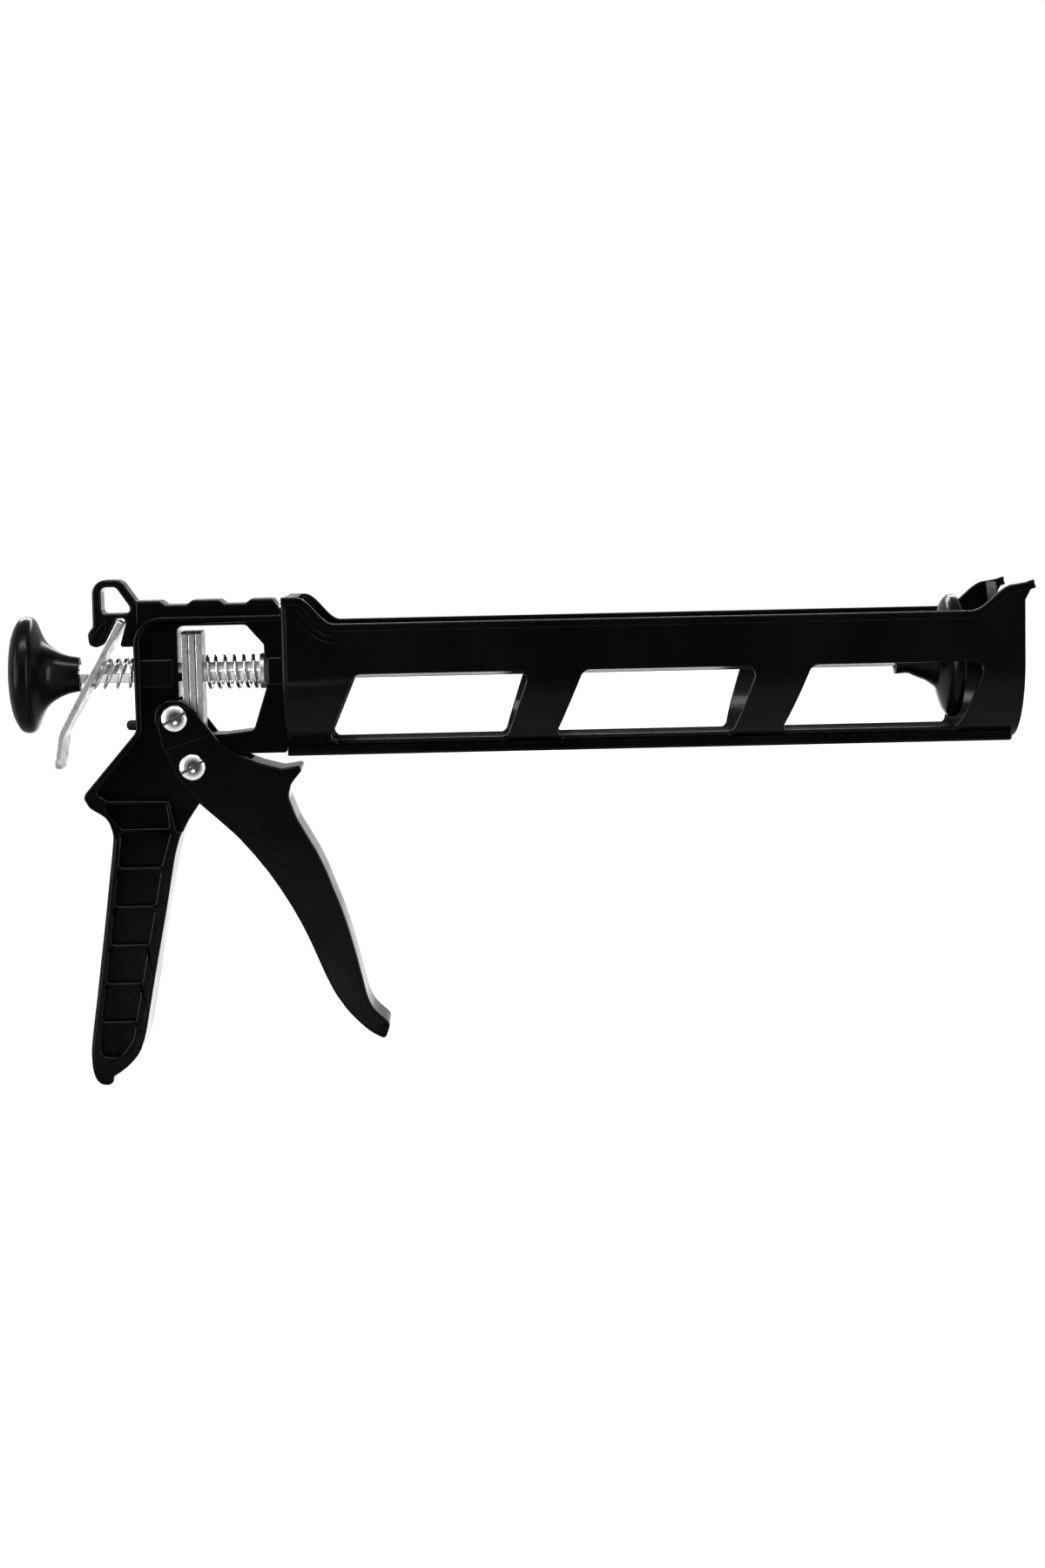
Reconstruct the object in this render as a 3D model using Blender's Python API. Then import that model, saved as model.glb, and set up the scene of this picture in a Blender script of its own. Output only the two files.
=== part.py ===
"""Open-cradle caulking gun as an assembly of separate pieces (Blender 4.5, metres, +Z up).

Sizes below are in millimetres, in the rod's frame: the rod runs along X with the nozzle end
at +X, Y = 0 is the middle plane, and Z = 0 is the rod's axis. The last step moves the whole
gun so that the origin is the middle of the hand grip.
"""
import math

import bmesh
import bpy
from mathutils import Matrix, Vector

MM = 0.001
GAP = 0.3                       # clearance between neighbouring pieces
GRIP_CENTRE = (-109.0, 0.0, -85.0)

# rod and plunger
ROD_FLATS = 6.1
ROD_REAR, ROD_SHOULDER, ROD_FRONT = -136.1, 160.2, 164.4
ROD_STUD_RADIUS = 2.4
ROD_HOLE_RADIUS = 3.95
PLUNGER_RADIUS = 20.0
PLUNGER_REAR, PLUNGER_FRONT = 144.6, 165.0

# cradle
CRADLE_RADIUS, CRADLE_WALL = 27.3, 2.0
CRADLE_REAR, CRADLE_FRONT, PLATE_THICKNESS = -54.8, 182.8, 4.0
RIM_Z, EAR_Z, LIP_X = 15.5, 24.2, 186.2
RAIL_HALF_WIDTH, RAIL_TOP, RAIL_BOTTOM = 12.7, -24.2, -27.5
WINDOW_PITCH, WINDOW_TOP, WINDOW_BOTTOM = 73.2, -0.8, -24.0
WINDOW_COUNT = 3
FIRST_WINDOW_TOP_X, FIRST_WINDOW_BOTTOM_X = (-32.0, 24.0), (-41.6, 16.4)
NOZZLE_SLOT_HALF_WIDTH = 12.5

# frame
FRAME_HALF_WIDTH, WEB_HALF_WIDTH, LOOP_HALF_WIDTH = 12.0, 7.5, 5.5
POCKET_FLOOR = 8.6
FRAME_FRONT = CRADLE_REAR - GAP
SHOULDER_Z = 18.4
BOSS_HALF_WIDTH, BOSS_HALF_HEIGHT = 10.0, 4.8
RIB_TOP, RIB_PITCH, RIB_COUNT, RIB_THICKNESS = -50.6, 12.6, 6, 1.2

# trigger linkage
PIVOT = (-85.8, -30.5)
DRIVE_PIN = (-91.2, -14.6)
PIVOT_RADIUS, DRIVE_PIN_RADIUS = 3.0, 2.2
HEAD_RADIUS, HEAD_THICKNESS = 4.3, 1.7
CHEEK_OUTER, CHEEK_INNER = 11.0, 8.0
SLOT_TILT = math.radians(28.0)

# drive plates and springs
PLATE_REAR, PLATE_THICK, PLATE_PITCH, PLATE_HALF_WIDTH = -88.6, 2.0, 2.3, 7.4
PLATE_TOP, PLATE_BOTTOM = 13.4, -19.0
MAIN_SPRING_X, MAIN_SPRING_RADIUS, MAIN_WIRE = (-81.1, -64.4), 5.4, 0.6
RELEASE_SPRING_X, RELEASE_SPRING_RADIUS, RELEASE_WIRE = (-104.9, -115.5), 4.7, 0.5

# release lever
LEVER_PIVOT = (-108.5, 16.1)
LEVER_BEND = (-128.3, -19.6)
LEVER_END = (-129.8, -30.5)
LEVER_THICKNESS, LEVER_HALF_WIDTH = 2.0, 9.0
LEVER_SLOT = (12.9, 22.9)       # along the lever from its pivot
LEVER_LEAN = math.atan2(LEVER_PIVOT[0] - LEVER_BEND[0], LEVER_PIVOT[1] - LEVER_BEND[1])

# fixings
CRADLE_SCREWS = [(4.5, 20.2), (-4.5, 20.2), (4.5, -21.4), (-4.5, -21.4)]
CRADLE_SCREW_RADIUS, CRADLE_SCREW_HEAD, CRADLE_SCREW_TIP = 1.6, 2.8, -62.5
PEG_Z, PEG_RADIUS, PEG_SHANK = -17.1, 1.7, 1.2


# ---------------------------------------------------------------- drawing helpers

def clear_scene():
    for obj in list(bpy.data.objects):
        bpy.data.objects.remove(obj, do_unlink=True)


def material(name, colour, roughness, metallic):
    mat = bpy.data.materials.new(name)
    mat.use_nodes = True
    shader = mat.node_tree.nodes["Principled BSDF"]
    shader.inputs["Base Color"].default_value = (*colour, 1.0)
    shader.inputs["Roughness"].default_value = roughness
    shader.inputs["Metallic"].default_value = metallic
    return mat


def fillet(corners, step=math.radians(22.5)):
    """Outline from corners (x, z) or (x, z, radius): a radius turns the corner into an arc."""
    outline = []
    count = len(corners)
    for i, corner in enumerate(corners):
        here = Vector(corner[:2])
        radius = corner[2] if len(corner) > 2 else 0.0
        back = Vector(corners[i - 1][:2]) - here
        ahead = Vector(corners[(i + 1) % count][:2]) - here
        inside = back.angle(ahead)
        reach = radius / math.tan(inside / 2)
        if radius == 0.0 or reach < 1e-6:
            outline.append(tuple(here))
            continue
        reach = min(reach, 0.48 * back.length, 0.48 * ahead.length)
        radius = reach * math.tan(inside / 2)
        middle = here + (back.normalized() + ahead.normalized()).normalized() * (
            math.hypot(radius, reach))
        first = here + back.normalized() * reach - middle
        turn = math.pi - inside
        side = 1.0 if back.x * ahead.y - back.y * ahead.x < 0 else -1.0
        parts = max(1, math.ceil(turn / step))
        for k in range(parts + 1):
            angle = side * turn * k / parts
            cos, sin = math.cos(angle), math.sin(angle)
            outline.append((middle.x + first.x * cos - first.y * sin,
                            middle.y + first.x * sin + first.y * cos))
    return outline


def s_curve(start, end, parts=8):
    """Points of a smooth step between two points, level at both ends."""
    points = []
    for k in range(parts + 1):
        t = k / parts
        ease = 0.5 - 0.5 * math.cos(math.pi * t)
        points.append((start[0] + (end[0] - start[0]) * t, start[1] + (end[1] - start[1]) * ease))
    return points


def height_on(line, z):
    """X of a polyline at height z."""
    for (x0, z0), (x1, z1) in zip(line, line[1:]):
        if min(z0, z1) <= z <= max(z0, z1) and z0 != z1:
            return x0 + (x1 - x0) * (z - z0) / (z1 - z0)
    return line[-1][0]


def add_prism(bm, outline, low, high, axis="Y"):
    """Closed prism over an outline, between two places along Y (outline x, z) or X (outline y, z)."""
    def place(point, along):
        if axis == "Y":
            return Vector((point[0], along, point[1])) * MM
        return Vector((along, point[0], point[1])) * MM
    first = [bm.verts.new(place(p, low)) for p in outline]
    second = [bm.verts.new(place(p, high)) for p in outline]
    faces = [bm.faces.new(first), bm.faces.new(list(reversed(second)))]
    for i in range(len(outline)):
        j = (i + 1) % len(outline)
        faces.append(bm.faces.new((first[j], first[i], second[i], second[j])))
    bmesh.ops.recalc_face_normals(bm, faces=faces)


def add_lathe(bm, profile, segments=24, centre=(0.0, 0.0, 0.0), axis="X", ring=False):
    """Profile of (along, radius) turned about X or Y. A ring's profile closes on itself."""
    loops = []
    for along, radius in profile:
        count = segments if radius > 0 else 1
        loop = []
        for k in range(count):
            angle = 2 * math.pi * (k + 0.5) / segments
            a, b = radius * math.cos(angle), radius * math.sin(angle)
            spot = Vector((along, a, b)) if axis == "X" else Vector((a, along, b))
            loop.append(bm.verts.new((spot + Vector(centre)) * MM))
        loops.append(loop)
    faces = []
    pairs = list(zip(loops, loops[1:]))
    if ring:
        pairs.append((loops[-1], loops[0]))
    for one, two in pairs:
        for k in range(segments):
            n = (k + 1) % segments
            corners = [one[k % len(one)], one[n % len(one)], two[n % len(two)], two[k % len(two)]]
            corners = [v for i, v in enumerate(corners) if v not in corners[:i]]
            if len(corners) > 2:
                faces.append(bm.faces.new(corners))
    bmesh.ops.recalc_face_normals(bm, faces=faces)


def add_cylinder(bm, centre, radius, low, high, axis, segments=24):
    add_lathe(bm, [(low, 0), (low, radius), (high, radius), (high, 0)], segments, centre, axis)


def add_coil(bm, ends, radius, wire, turns, lean=0.0, parts=14, sides=6):
    """Wire coil along X. lean tilts the coil's far end, in X per Z, as far as it has climbed."""
    count = int(turns * parts)
    path = []
    for k in range(count + 1):
        t = k / count
        angle = 2 * math.pi * turns * t
        y, z = radius * math.cos(angle), radius * math.sin(angle)
        path.append(Vector((ends[0] + (ends[1] - ends[0]) * t + lean * z * t, y, z)))
    loops = []
    for k, spot in enumerate(path):
        ahead = (path[min(k + 1, count)] - path[max(k - 1, 0)]).normalized()
        out = Vector((0, spot.y, spot.z)).normalized()
        across = ahead.cross(out).normalized()
        loops.append([bm.verts.new((spot + (out * math.cos(a) + across * math.sin(a)) * wire) * MM)
                      for a in (2 * math.pi * s / sides for s in range(sides))])
    faces = [bm.faces.new(loops[0]), bm.faces.new(loops[-1])]
    for one, two in zip(loops, loops[1:]):
        for s in range(sides):
            n = (s + 1) % sides
            faces.append(bm.faces.new((one[s], one[n], two[n], two[s])))
    bmesh.ops.recalc_face_normals(bm, faces=faces)


def new_object(name, bm, mat=None):
    mesh = bpy.data.meshes.new(name)
    bm.to_mesh(mesh)
    bm.free()
    mesh.shade_smooth()
    mesh.set_sharp_from_angle(angle=math.radians(30))
    if mat:
        mesh.materials.append(mat)
    obj = bpy.data.objects.new(name, mesh)
    bpy.context.collection.objects.link(obj)
    return obj


def boolean(target, operation, build_tool):
    """Cut, join or intersect with the shapes that build_tool adds to a fresh bmesh."""
    bm = bmesh.new()
    build_tool(bm)
    tool = new_object("tool", bm)
    modifier = target.modifiers.new(operation, "BOOLEAN")
    modifier.operation = operation
    modifier.solver = "EXACT"
    modifier.object = tool
    bpy.context.view_layer.update()
    depsgraph = bpy.context.evaluated_depsgraph_get()
    result = bpy.data.meshes.new_from_object(target.evaluated_get(depsgraph))
    target.modifiers.clear()
    target.data = result
    bpy.data.objects.remove(tool, do_unlink=True)


def both_sides(bm, outline, inner, outer):
    add_prism(bm, outline, inner, outer)
    add_prism(bm, outline, -outer, -inner)


# ---------------------------------------------------------------- frame

HANDLE_REAR = [(-103.6, -18.6), (-120.7, -38.3), (-121.3, -39.9), (-119.5, -43.1), (-113.7, -46.7),
               (-112.0, -52.0), (-112.7, -58.2), (-114.2, -69.5), (-115.7, -80.9), (-117.3, -92.3),
               (-118.9, -103.8), (-120.5, -114.5), (-121.4, -121.0), (-121.6, -126.0),
               (-121.1, -129.8), (-120.2, -132.4), (-118.4, -134.1)]
HANDLE_FRONT = [(-115.9, -134.2), (-114.5, -133.2), (-114.5, -131.3), (-112.0, -130.0),
                (-108.4, -127.1), (-106.0, -124.2), (-104.5, -121.0), (-103.2, -116.0),
                (-102.1, -110.0), (-99.9, -98.5), (-97.6, -87.1), (-95.3, -75.7), (-93.2, -64.3),
                (-92.1, -58.6), (-90.4, -53.0), (-87.9, -48.1), (-84.2, -42.7)]


def frame_outline():
    top = [(FRAME_FRONT, -26.7), (FRAME_FRONT, 18.2), (-58.6, 23.6, 1.0)]
    for front, back in ((-65.5, -76.0), (-84.5, -95.2)):
        top += [(front, 23.6), (front - 1.9, 22.2), (back + 1.9, 22.2), (back, 23.6)]
    loop = [(-103.0, 23.6, 2.0), (-107.8, 30.6, 3.0), (-117.2, 30.6, 4.5), (-117.3, 15.4, 1.0),
            (-119.0, 13.3, 1.5), (-118.7, 9.4, 2.0), (-116.2, 8.6, 1.5), (-113.5, 9.9, 0.6)]
    slot = [(-110.1, 16.7), (-109.7, 18.0, 0.8), (-107.1, 18.0, 0.8), (-106.6, 16.0),
            (-108.8, 8.7, 0.5), (-103.8, 8.7, 0.8)]
    rear = [(HANDLE_REAR[0][0], HANDLE_REAR[0][1], 3.0)]
    rear += [(x, z, 2.0) for x, z in HANDLE_REAR[1:-1]] + [(*HANDLE_REAR[-1], 2.0)]
    front = [(x, z, 1.0) for x, z in HANDLE_FRONT]
    boss = [(-78.4, -36.4, 4.0), (-75.9, -29.0, 3.0), (-71.2, -26.7, 3.0)]
    return fillet(top + loop + slot + rear + front + boss)


def frame_window():
    return fillet([(-89.8, 15.2, 2.0), (-67.5, 15.2, 2.0), (-61.9, 8.7, 1.0), (-61.4, -5.5, 1.0),
                   (-65.8, -19.1, 1.5), (-75.0, -20.1, 1.0), (-94.2, -20.1, 2.0),
                   (-94.2, -10.6, 2.0), (-89.8, -8.6, 1.0)])


def frame_recess():
    """Everything inside the flange, down to the handle and open where the trigger straddles it."""
    return fillet([(-50.0, 16.2), (-101.6, 16.2, 6.5), (-101.6, -19.2, 2.0), (-117.5, -38.3, 2.0),
                   (-113.6, -40.7, 1.0), (-93.3, -41.3), (-92.7, -45.7),
                   (-91.4, -51.2), (-84.0, -54.0), (-60.0, -48.0), (-50.0, -30.0)])


def rail_cut():
    """Everything above the body's shoulder, where only the narrower top rail and the loop are left."""
    return fillet([(-50.0, 35.0), (-125.0, 35.0), (-125.0, 5.0), (-103.9, 5.0), (-103.9, SHOULDER_Z, 9.0),
                   (-50.0, SHOULDER_Z)])


def grip_pocket(top, bottom):
    rear_wall, front_wall = 2.7, 4.0
    return fillet([(height_on(HANDLE_REAR, top) + rear_wall, top, 0.8),
                   (height_on(HANDLE_REAR, bottom) + rear_wall, bottom, 0.8),
                   (height_on(HANDLE_FRONT, bottom) - front_wall, bottom, 0.8),
                   (height_on(HANDLE_FRONT, top) - front_wall, top, 0.8)])


def frame_pockets(bm):
    ribs = [RIB_TOP - RIB_PITCH * k for k in range(RIB_COUNT)]
    half = RIB_THICKNESS / 2
    pockets = [fillet([(-115.7, -41.9, 0.8), (-109.4, -50.0, 0.8), (-93.9, -50.0, 0.8),
                       (-94.7, -42.4, 0.8)])]
    pockets += [grip_pocket(a - half, b + half) for a, b in zip(ribs, ribs[1:])]
    last = ribs[-1] - half
    pockets.append(fillet([(height_on(HANDLE_REAR, last) + 2.7, last, 0.8), (-118.2, -124.5, 1.5),
                           (-112.2, -125.2, 4.0), (-107.8, -119.2, 2.0),
                           (height_on(HANDLE_FRONT, last) - 4.0, last, 0.8)]))
    for outline in pockets:
        both_sides(bm, outline, POCKET_FLOOR, FRAME_HALF_WIDTH + 3)


def make_frame(mat):
    bm = bmesh.new()
    add_prism(bm, frame_outline(), -FRAME_HALF_WIDTH, FRAME_HALF_WIDTH)
    frame = new_object("frame", bm, mat)

    def side_cuts(bm):
        both_sides(bm, frame_recess(), WEB_HALF_WIDTH, FRAME_HALF_WIDTH + 3)
        both_sides(bm, rail_cut(), WEB_HALF_WIDTH, FRAME_HALF_WIDTH + 3)
    boolean(frame, "DIFFERENCE", side_cuts)
    boolean(frame, "DIFFERENCE", lambda bm: both_sides(
        bm, [(-125.0, 35.0), (-104.2, 35.0), (-104.2, 4.0), (-125.0, 4.0)],
        LOOP_HALF_WIDTH, FRAME_HALF_WIDTH + 4))
    boolean(frame, "DIFFERENCE", frame_pockets)

    def bosses(bm):
        for rear, front in ((-103.2, -91.0), (-61.0, FRAME_FRONT)):
            ends = fillet([(rear, -BOSS_HALF_HEIGHT, 0.8), (front, -BOSS_HALF_HEIGHT, 0.8),
                           (front, BOSS_HALF_HEIGHT, 0.8), (rear, BOSS_HALF_HEIGHT, 0.8)])
            add_prism(bm, ends, -BOSS_HALF_WIDTH, BOSS_HALF_WIDTH)
    boolean(frame, "UNION", bosses)

    def through_cuts(bm):
        add_prism(bm, frame_window(), -20.0, 20.0)
        add_prism(bm, fillet([(-114.4, 28.2, 1.5), (-109.5, 28.2, 2.0), (-105.0, 21.6, 1.5),
                              (-105.4, 19.7, 1.0), (-114.3, 19.7, 1.0)]), -20.0, 20.0)
        add_cylinder(bm, (PIVOT[0], 0, PIVOT[1]), PIVOT_RADIUS + GAP, -20.0, 20.0, "Y")
    boolean(frame, "DIFFERENCE", through_cuts)

    def lengthwise_cuts(bm):
        add_cylinder(bm, (0, 0, 0), ROD_HOLE_RADIUS, -110.0, -50.0, "X")
        add_cylinder(bm, (0, 0, PEG_Z), PEG_SHANK + GAP, -110.0, -97.4, "X", 12)
        for y, z in CRADLE_SCREWS:
            add_cylinder(bm, (0, y, z), CRADLE_SCREW_RADIUS + GAP, CRADLE_SCREW_TIP - 0.7, -50.0, "X", 12)
    boolean(frame, "DIFFERENCE", lengthwise_cuts)
    return frame


# ---------------------------------------------------------------- cradle

def u_section(radius, top, parts=28):
    """Half-round trough with straight walls up to the given height, as (y, z)."""
    points = [(radius * math.cos(math.pi + math.pi * k / parts),
               radius * math.sin(math.pi + math.pi * k / parts)) for k in range(parts + 1)]
    return [(-radius, top)] + points + [(radius, top)]


def cradle_side():
    """The cradle seen from its side: rear ear, rim, front ear with its flared lip."""
    ear_rear = s_curve((-38.0, RIM_Z), (-50.0, EAR_Z))
    ear_front = s_curve((179.4, EAR_Z - 0.6), (165.3, RIM_Z))
    return ([(CRADLE_REAR, EAR_Z), (CRADLE_REAR, -40.0), (CRADLE_FRONT - 3.0, -40.0),
             (CRADLE_FRONT - 3.0, RAIL_BOTTOM), (CRADLE_FRONT - 0.6, RAIL_BOTTOM + 0.9),
             (CRADLE_FRONT, RAIL_BOTTOM + 3.0), (CRADLE_FRONT, 18.5), (LIP_X, EAR_Z + 0.2),
             (LIP_X - 0.6, EAR_Z + 0.8), (183.0, EAR_Z)] + ear_front + ear_rear)


def cradle_window(index):
    shift = WINDOW_PITCH * index
    (t0, t1), (b0, b1) = FIRST_WINDOW_TOP_X, FIRST_WINDOW_BOTTOM_X
    return fillet([(t0 + shift, WINDOW_TOP, 3.0), (t1 + shift, WINDOW_TOP, 3.0),
                   (b1 + shift, WINDOW_BOTTOM, 2.5), (b0 + shift, WINDOW_BOTTOM, 2.5)])


def nozzle_slot():
    """Front plate's slot for the nozzle, as (y, z): half-round seat, widening to the ears."""
    half, parts = NOZZLE_SLOT_HALF_WIDTH, 12
    seat = [(half * math.cos(math.pi + math.pi * k / parts),
             half * math.sin(math.pi + math.pi * k / parts)) for k in range(parts + 1)]
    return [(-22.0, 40.0), (-22.0, 22.0), (-half, 9.0)] + seat + [(half, 9.0), (22.0, 22.0), (22.0, 40.0)]


def make_cradle(mat):
    bm = bmesh.new()
    add_prism(bm, u_section(CRADLE_RADIUS, EAR_Z + 2.0), CRADLE_REAR, LIP_X, "X")
    cradle = new_object("cradle", bm, mat)

    def rail(bm):
        half = RAIL_HALF_WIDTH
        add_prism(bm, [(-half, RAIL_TOP), (-half, RAIL_BOTTOM + 0.8), (-half + 1.2, RAIL_BOTTOM),
                       (half - 1.2, RAIL_BOTTOM), (half, RAIL_BOTTOM + 0.8), (half, RAIL_TOP)],
                  CRADLE_REAR, LIP_X, "X")
    boolean(cradle, "UNION", rail)

    def hollow(bm):
        add_prism(bm, u_section(CRADLE_RADIUS - CRADLE_WALL, 60.0), CRADLE_REAR + PLATE_THICKNESS,
                  CRADLE_FRONT - PLATE_THICKNESS, "X")
    boolean(cradle, "DIFFERENCE", hollow)
    boolean(cradle, "DIFFERENCE", lambda bm: add_prism(bm, nozzle_slot(), 170.0, 195.0, "X"))
    boolean(cradle, "INTERSECT", lambda bm: add_prism(bm, cradle_side(), -40.0, 40.0))

    def windows(bm):
        for index in range(WINDOW_COUNT):
            add_prism(bm, cradle_window(index), -40.0, 40.0)
    boolean(cradle, "DIFFERENCE", windows)

    def holes(bm):
        add_cylinder(bm, (0, 0, 0), ROD_HOLE_RADIUS, -60.0, -45.0, "X")
        for y, z in CRADLE_SCREWS:
            add_cylinder(bm, (0, y, z), CRADLE_SCREW_RADIUS + GAP, -60.0, -45.0, "X", 12)
    boolean(cradle, "DIFFERENCE", holes)
    return cradle


def make_cradle_screws(mat):
    seat = CRADLE_REAR + PLATE_THICKNESS + GAP
    profile = [(CRADLE_SCREW_TIP, 0), (CRADLE_SCREW_TIP, 0.6), (CRADLE_SCREW_TIP + 2.0, CRADLE_SCREW_RADIUS),
               (seat, CRADLE_SCREW_RADIUS), (seat, CRADLE_SCREW_HEAD), (seat + 1.2, CRADLE_SCREW_HEAD),
               (seat + 2.0, 1.6), (seat + 2.0, 0)]
    screws = []
    for number, (y, z) in enumerate(CRADLE_SCREWS, 1):
        bm = bmesh.new()
        add_lathe(bm, profile, 12, (0, y, z))
        screws.append(new_object(f"cradle_screw_{number}", bm, mat))
    return screws


# ---------------------------------------------------------------- rod, plunger and knob

def make_rod(mat):
    corner = ROD_FLATS / 2 / math.cos(math.pi / 6)
    hexagon = [(corner * math.cos(math.pi / 3 * k), corner * math.sin(math.pi / 3 * k)) for k in range(6)]
    bm = bmesh.new()
    add_prism(bm, hexagon, ROD_REAR, ROD_SHOULDER, "X")
    rod = new_object("plunger_rod", bm, mat)
    boolean(rod, "UNION", lambda bm: add_cylinder(
        bm, (0, 0, 0), ROD_STUD_RADIUS, ROD_SHOULDER - 2.0, ROD_FRONT, "X", 16))
    return rod


def make_plunger(black, steel):
    bore, recess = ROD_HOLE_RADIUS, 9.0
    step = ROD_SHOULDER + 0.5
    profile = [(144.6, bore), (144.6, 5.8), (148.6, 5.6), (150.6, 6.4), (152.7, 7.3), (154.4, 8.0),
               (156.1, 9.1), (157.9, 10.6), (158.7, 12.8), (159.6, 15.8), (160.6, 18.3),
               (161.6, PLUNGER_RADIUS - 0.6), (162.4, PLUNGER_RADIUS), (164.2, PLUNGER_RADIUS),
               (PLUNGER_FRONT, PLUNGER_RADIUS - 0.9), (PLUNGER_FRONT, recess),
               (step - 0.3, recess - 0.3), (step - 0.3, bore)]
    bm = bmesh.new()
    add_lathe(bm, profile, 40, ring=True)
    disc = new_object("plunger_disc", bm, black)
    bm = bmesh.new()
    inner = ROD_STUD_RADIUS + GAP
    add_lathe(bm, [(step, inner), (step, 6.5), (step + 0.9, 6.5), (step + 0.9, inner)], 24, ring=True)
    washer = new_object("plunger_washer", bm, steel)
    across = 8.0 / 2 / math.cos(math.pi / 6)
    hexagon = [(across * math.cos(math.pi / 3 * k), across * math.sin(math.pi / 3 * k)) for k in range(6)]
    bm = bmesh.new()
    add_prism(bm, hexagon, step + 0.9 + GAP, PLUNGER_FRONT - 0.3, "X")
    nut = new_object("plunger_nut", bm, steel)
    boolean(nut, "DIFFERENCE", lambda bm: add_cylinder(bm, (0, 0, 0), inner, 150.0, 170.0, "X", 16))
    return [disc, washer, nut]


def make_knob(mat):
    bore = ROD_HOLE_RADIUS
    profile = [(-145.1, 0), (-144.9, 6.0), (-144.4, 11.0), (-143.4, 15.0), (-141.7, 18.0),
               (-140.1, 18.9), (-138.1, 18.9), (-136.7, 17.8), (-135.5, 15.0), (-134.1, 12.0),
               (-132.1, 9.6), (-129.5, 7.8), (-126.5, 6.5), (-123.9, 5.9), (-122.4, 5.8),
               (-122.4, bore), (ROD_REAR - 0.4, bore), (ROD_REAR - 0.4, 0)]
    bm = bmesh.new()
    add_lathe(bm, profile, 36)
    return new_object("pull_knob", bm, mat)


# ---------------------------------------------------------------- drive plates and springs

def make_drive_plates(mat):
    half = PLATE_HALF_WIDTH
    outline = fillet([(-half, PLATE_BOTTOM, 1.5), (half, PLATE_BOTTOM, 1.5), (half, PLATE_TOP, 1.5),
                      (-half, PLATE_TOP, 1.5)])
    plates = []
    for number, place in enumerate(("rear", "middle", "front")):
        low = PLATE_REAR + PLATE_PITCH * number
        bm = bmesh.new()
        add_prism(bm, outline, low, low + PLATE_THICK, "X")
        plate = new_object(f"drive_plate_{place}", bm, mat)
        boolean(plate, "DIFFERENCE", lambda bm: add_cylinder(bm, (0, 0, 0), ROD_HOLE_RADIUS, -95.0, -75.0, "X"))
        plates.append(plate)
    return plates


def make_springs(steel, washer_steel):
    bm = bmesh.new()
    add_coil(bm, MAIN_SPRING_X, MAIN_SPRING_RADIUS, MAIN_WIRE, 5.0)
    main = new_object("main_spring", bm, steel)
    bm = bmesh.new()
    add_lathe(bm, [(-63.5, ROD_HOLE_RADIUS), (-63.5, 6.0), (-62.0, 6.0), (-62.0, ROD_HOLE_RADIUS)], 24, ring=True)
    washer = new_object("main_spring_washer", bm, washer_steel)
    bm = bmesh.new()
    add_coil(bm, RELEASE_SPRING_X, RELEASE_SPRING_RADIUS, RELEASE_WIRE, 3.5, math.tan(LEVER_LEAN))
    release = new_object("release_spring", bm, steel)
    return main, washer, release


# ---------------------------------------------------------------- release lever and peg

def make_release_lever(mat):
    half = LEVER_THICKNESS / 2
    down = Vector((math.sin(-LEVER_LEAN), -math.cos(LEVER_LEAN)))
    top = Vector(LEVER_PIVOT) - down
    bend, end = Vector(LEVER_BEND), Vector(LEVER_END)
    tail = (end - bend).normalized()
    front = Vector((math.cos(LEVER_LEAN), -math.sin(LEVER_LEAN)))
    tail_front = Vector((-tail.y, tail.x))
    if tail_front.x < 0:
        tail_front = -tail_front
    knee = (front + tail_front).normalized()
    outline = [top + front * half, bend + knee * half, end + tail_front * half,
               end - tail_front * half, bend - knee * half, top - front * half]
    bm = bmesh.new()
    add_prism(bm, [tuple(p) for p in outline], -LEVER_HALF_WIDTH, LEVER_HALF_WIDTH)
    lever = new_object("release_lever", bm, mat)

    def rod_slot(bm):
        start, stop = (Vector(LEVER_PIVOT) + down * reach for reach in LEVER_SLOT)
        corners = [start + front * 3, stop + front * 3, stop - front * 3, start - front * 3]
        add_prism(bm, [tuple(p) for p in corners], -4.0, 4.0)
    boolean(lever, "DIFFERENCE", rod_slot)
    return lever


def make_peg(mat):
    seat = -104.1
    bm = bmesh.new()
    add_lathe(bm, [(-107.9, 0), (-107.9, 1.1), (-107.2, PEG_RADIUS), (seat, PEG_RADIUS),
                   (seat, PEG_SHANK), (-98.0, PEG_SHANK), (-98.0, 0)], 12, (0, 0, PEG_Z))
    return new_object("lever_stop_peg", bm, mat)


# ---------------------------------------------------------------- trigger and its screws

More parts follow.
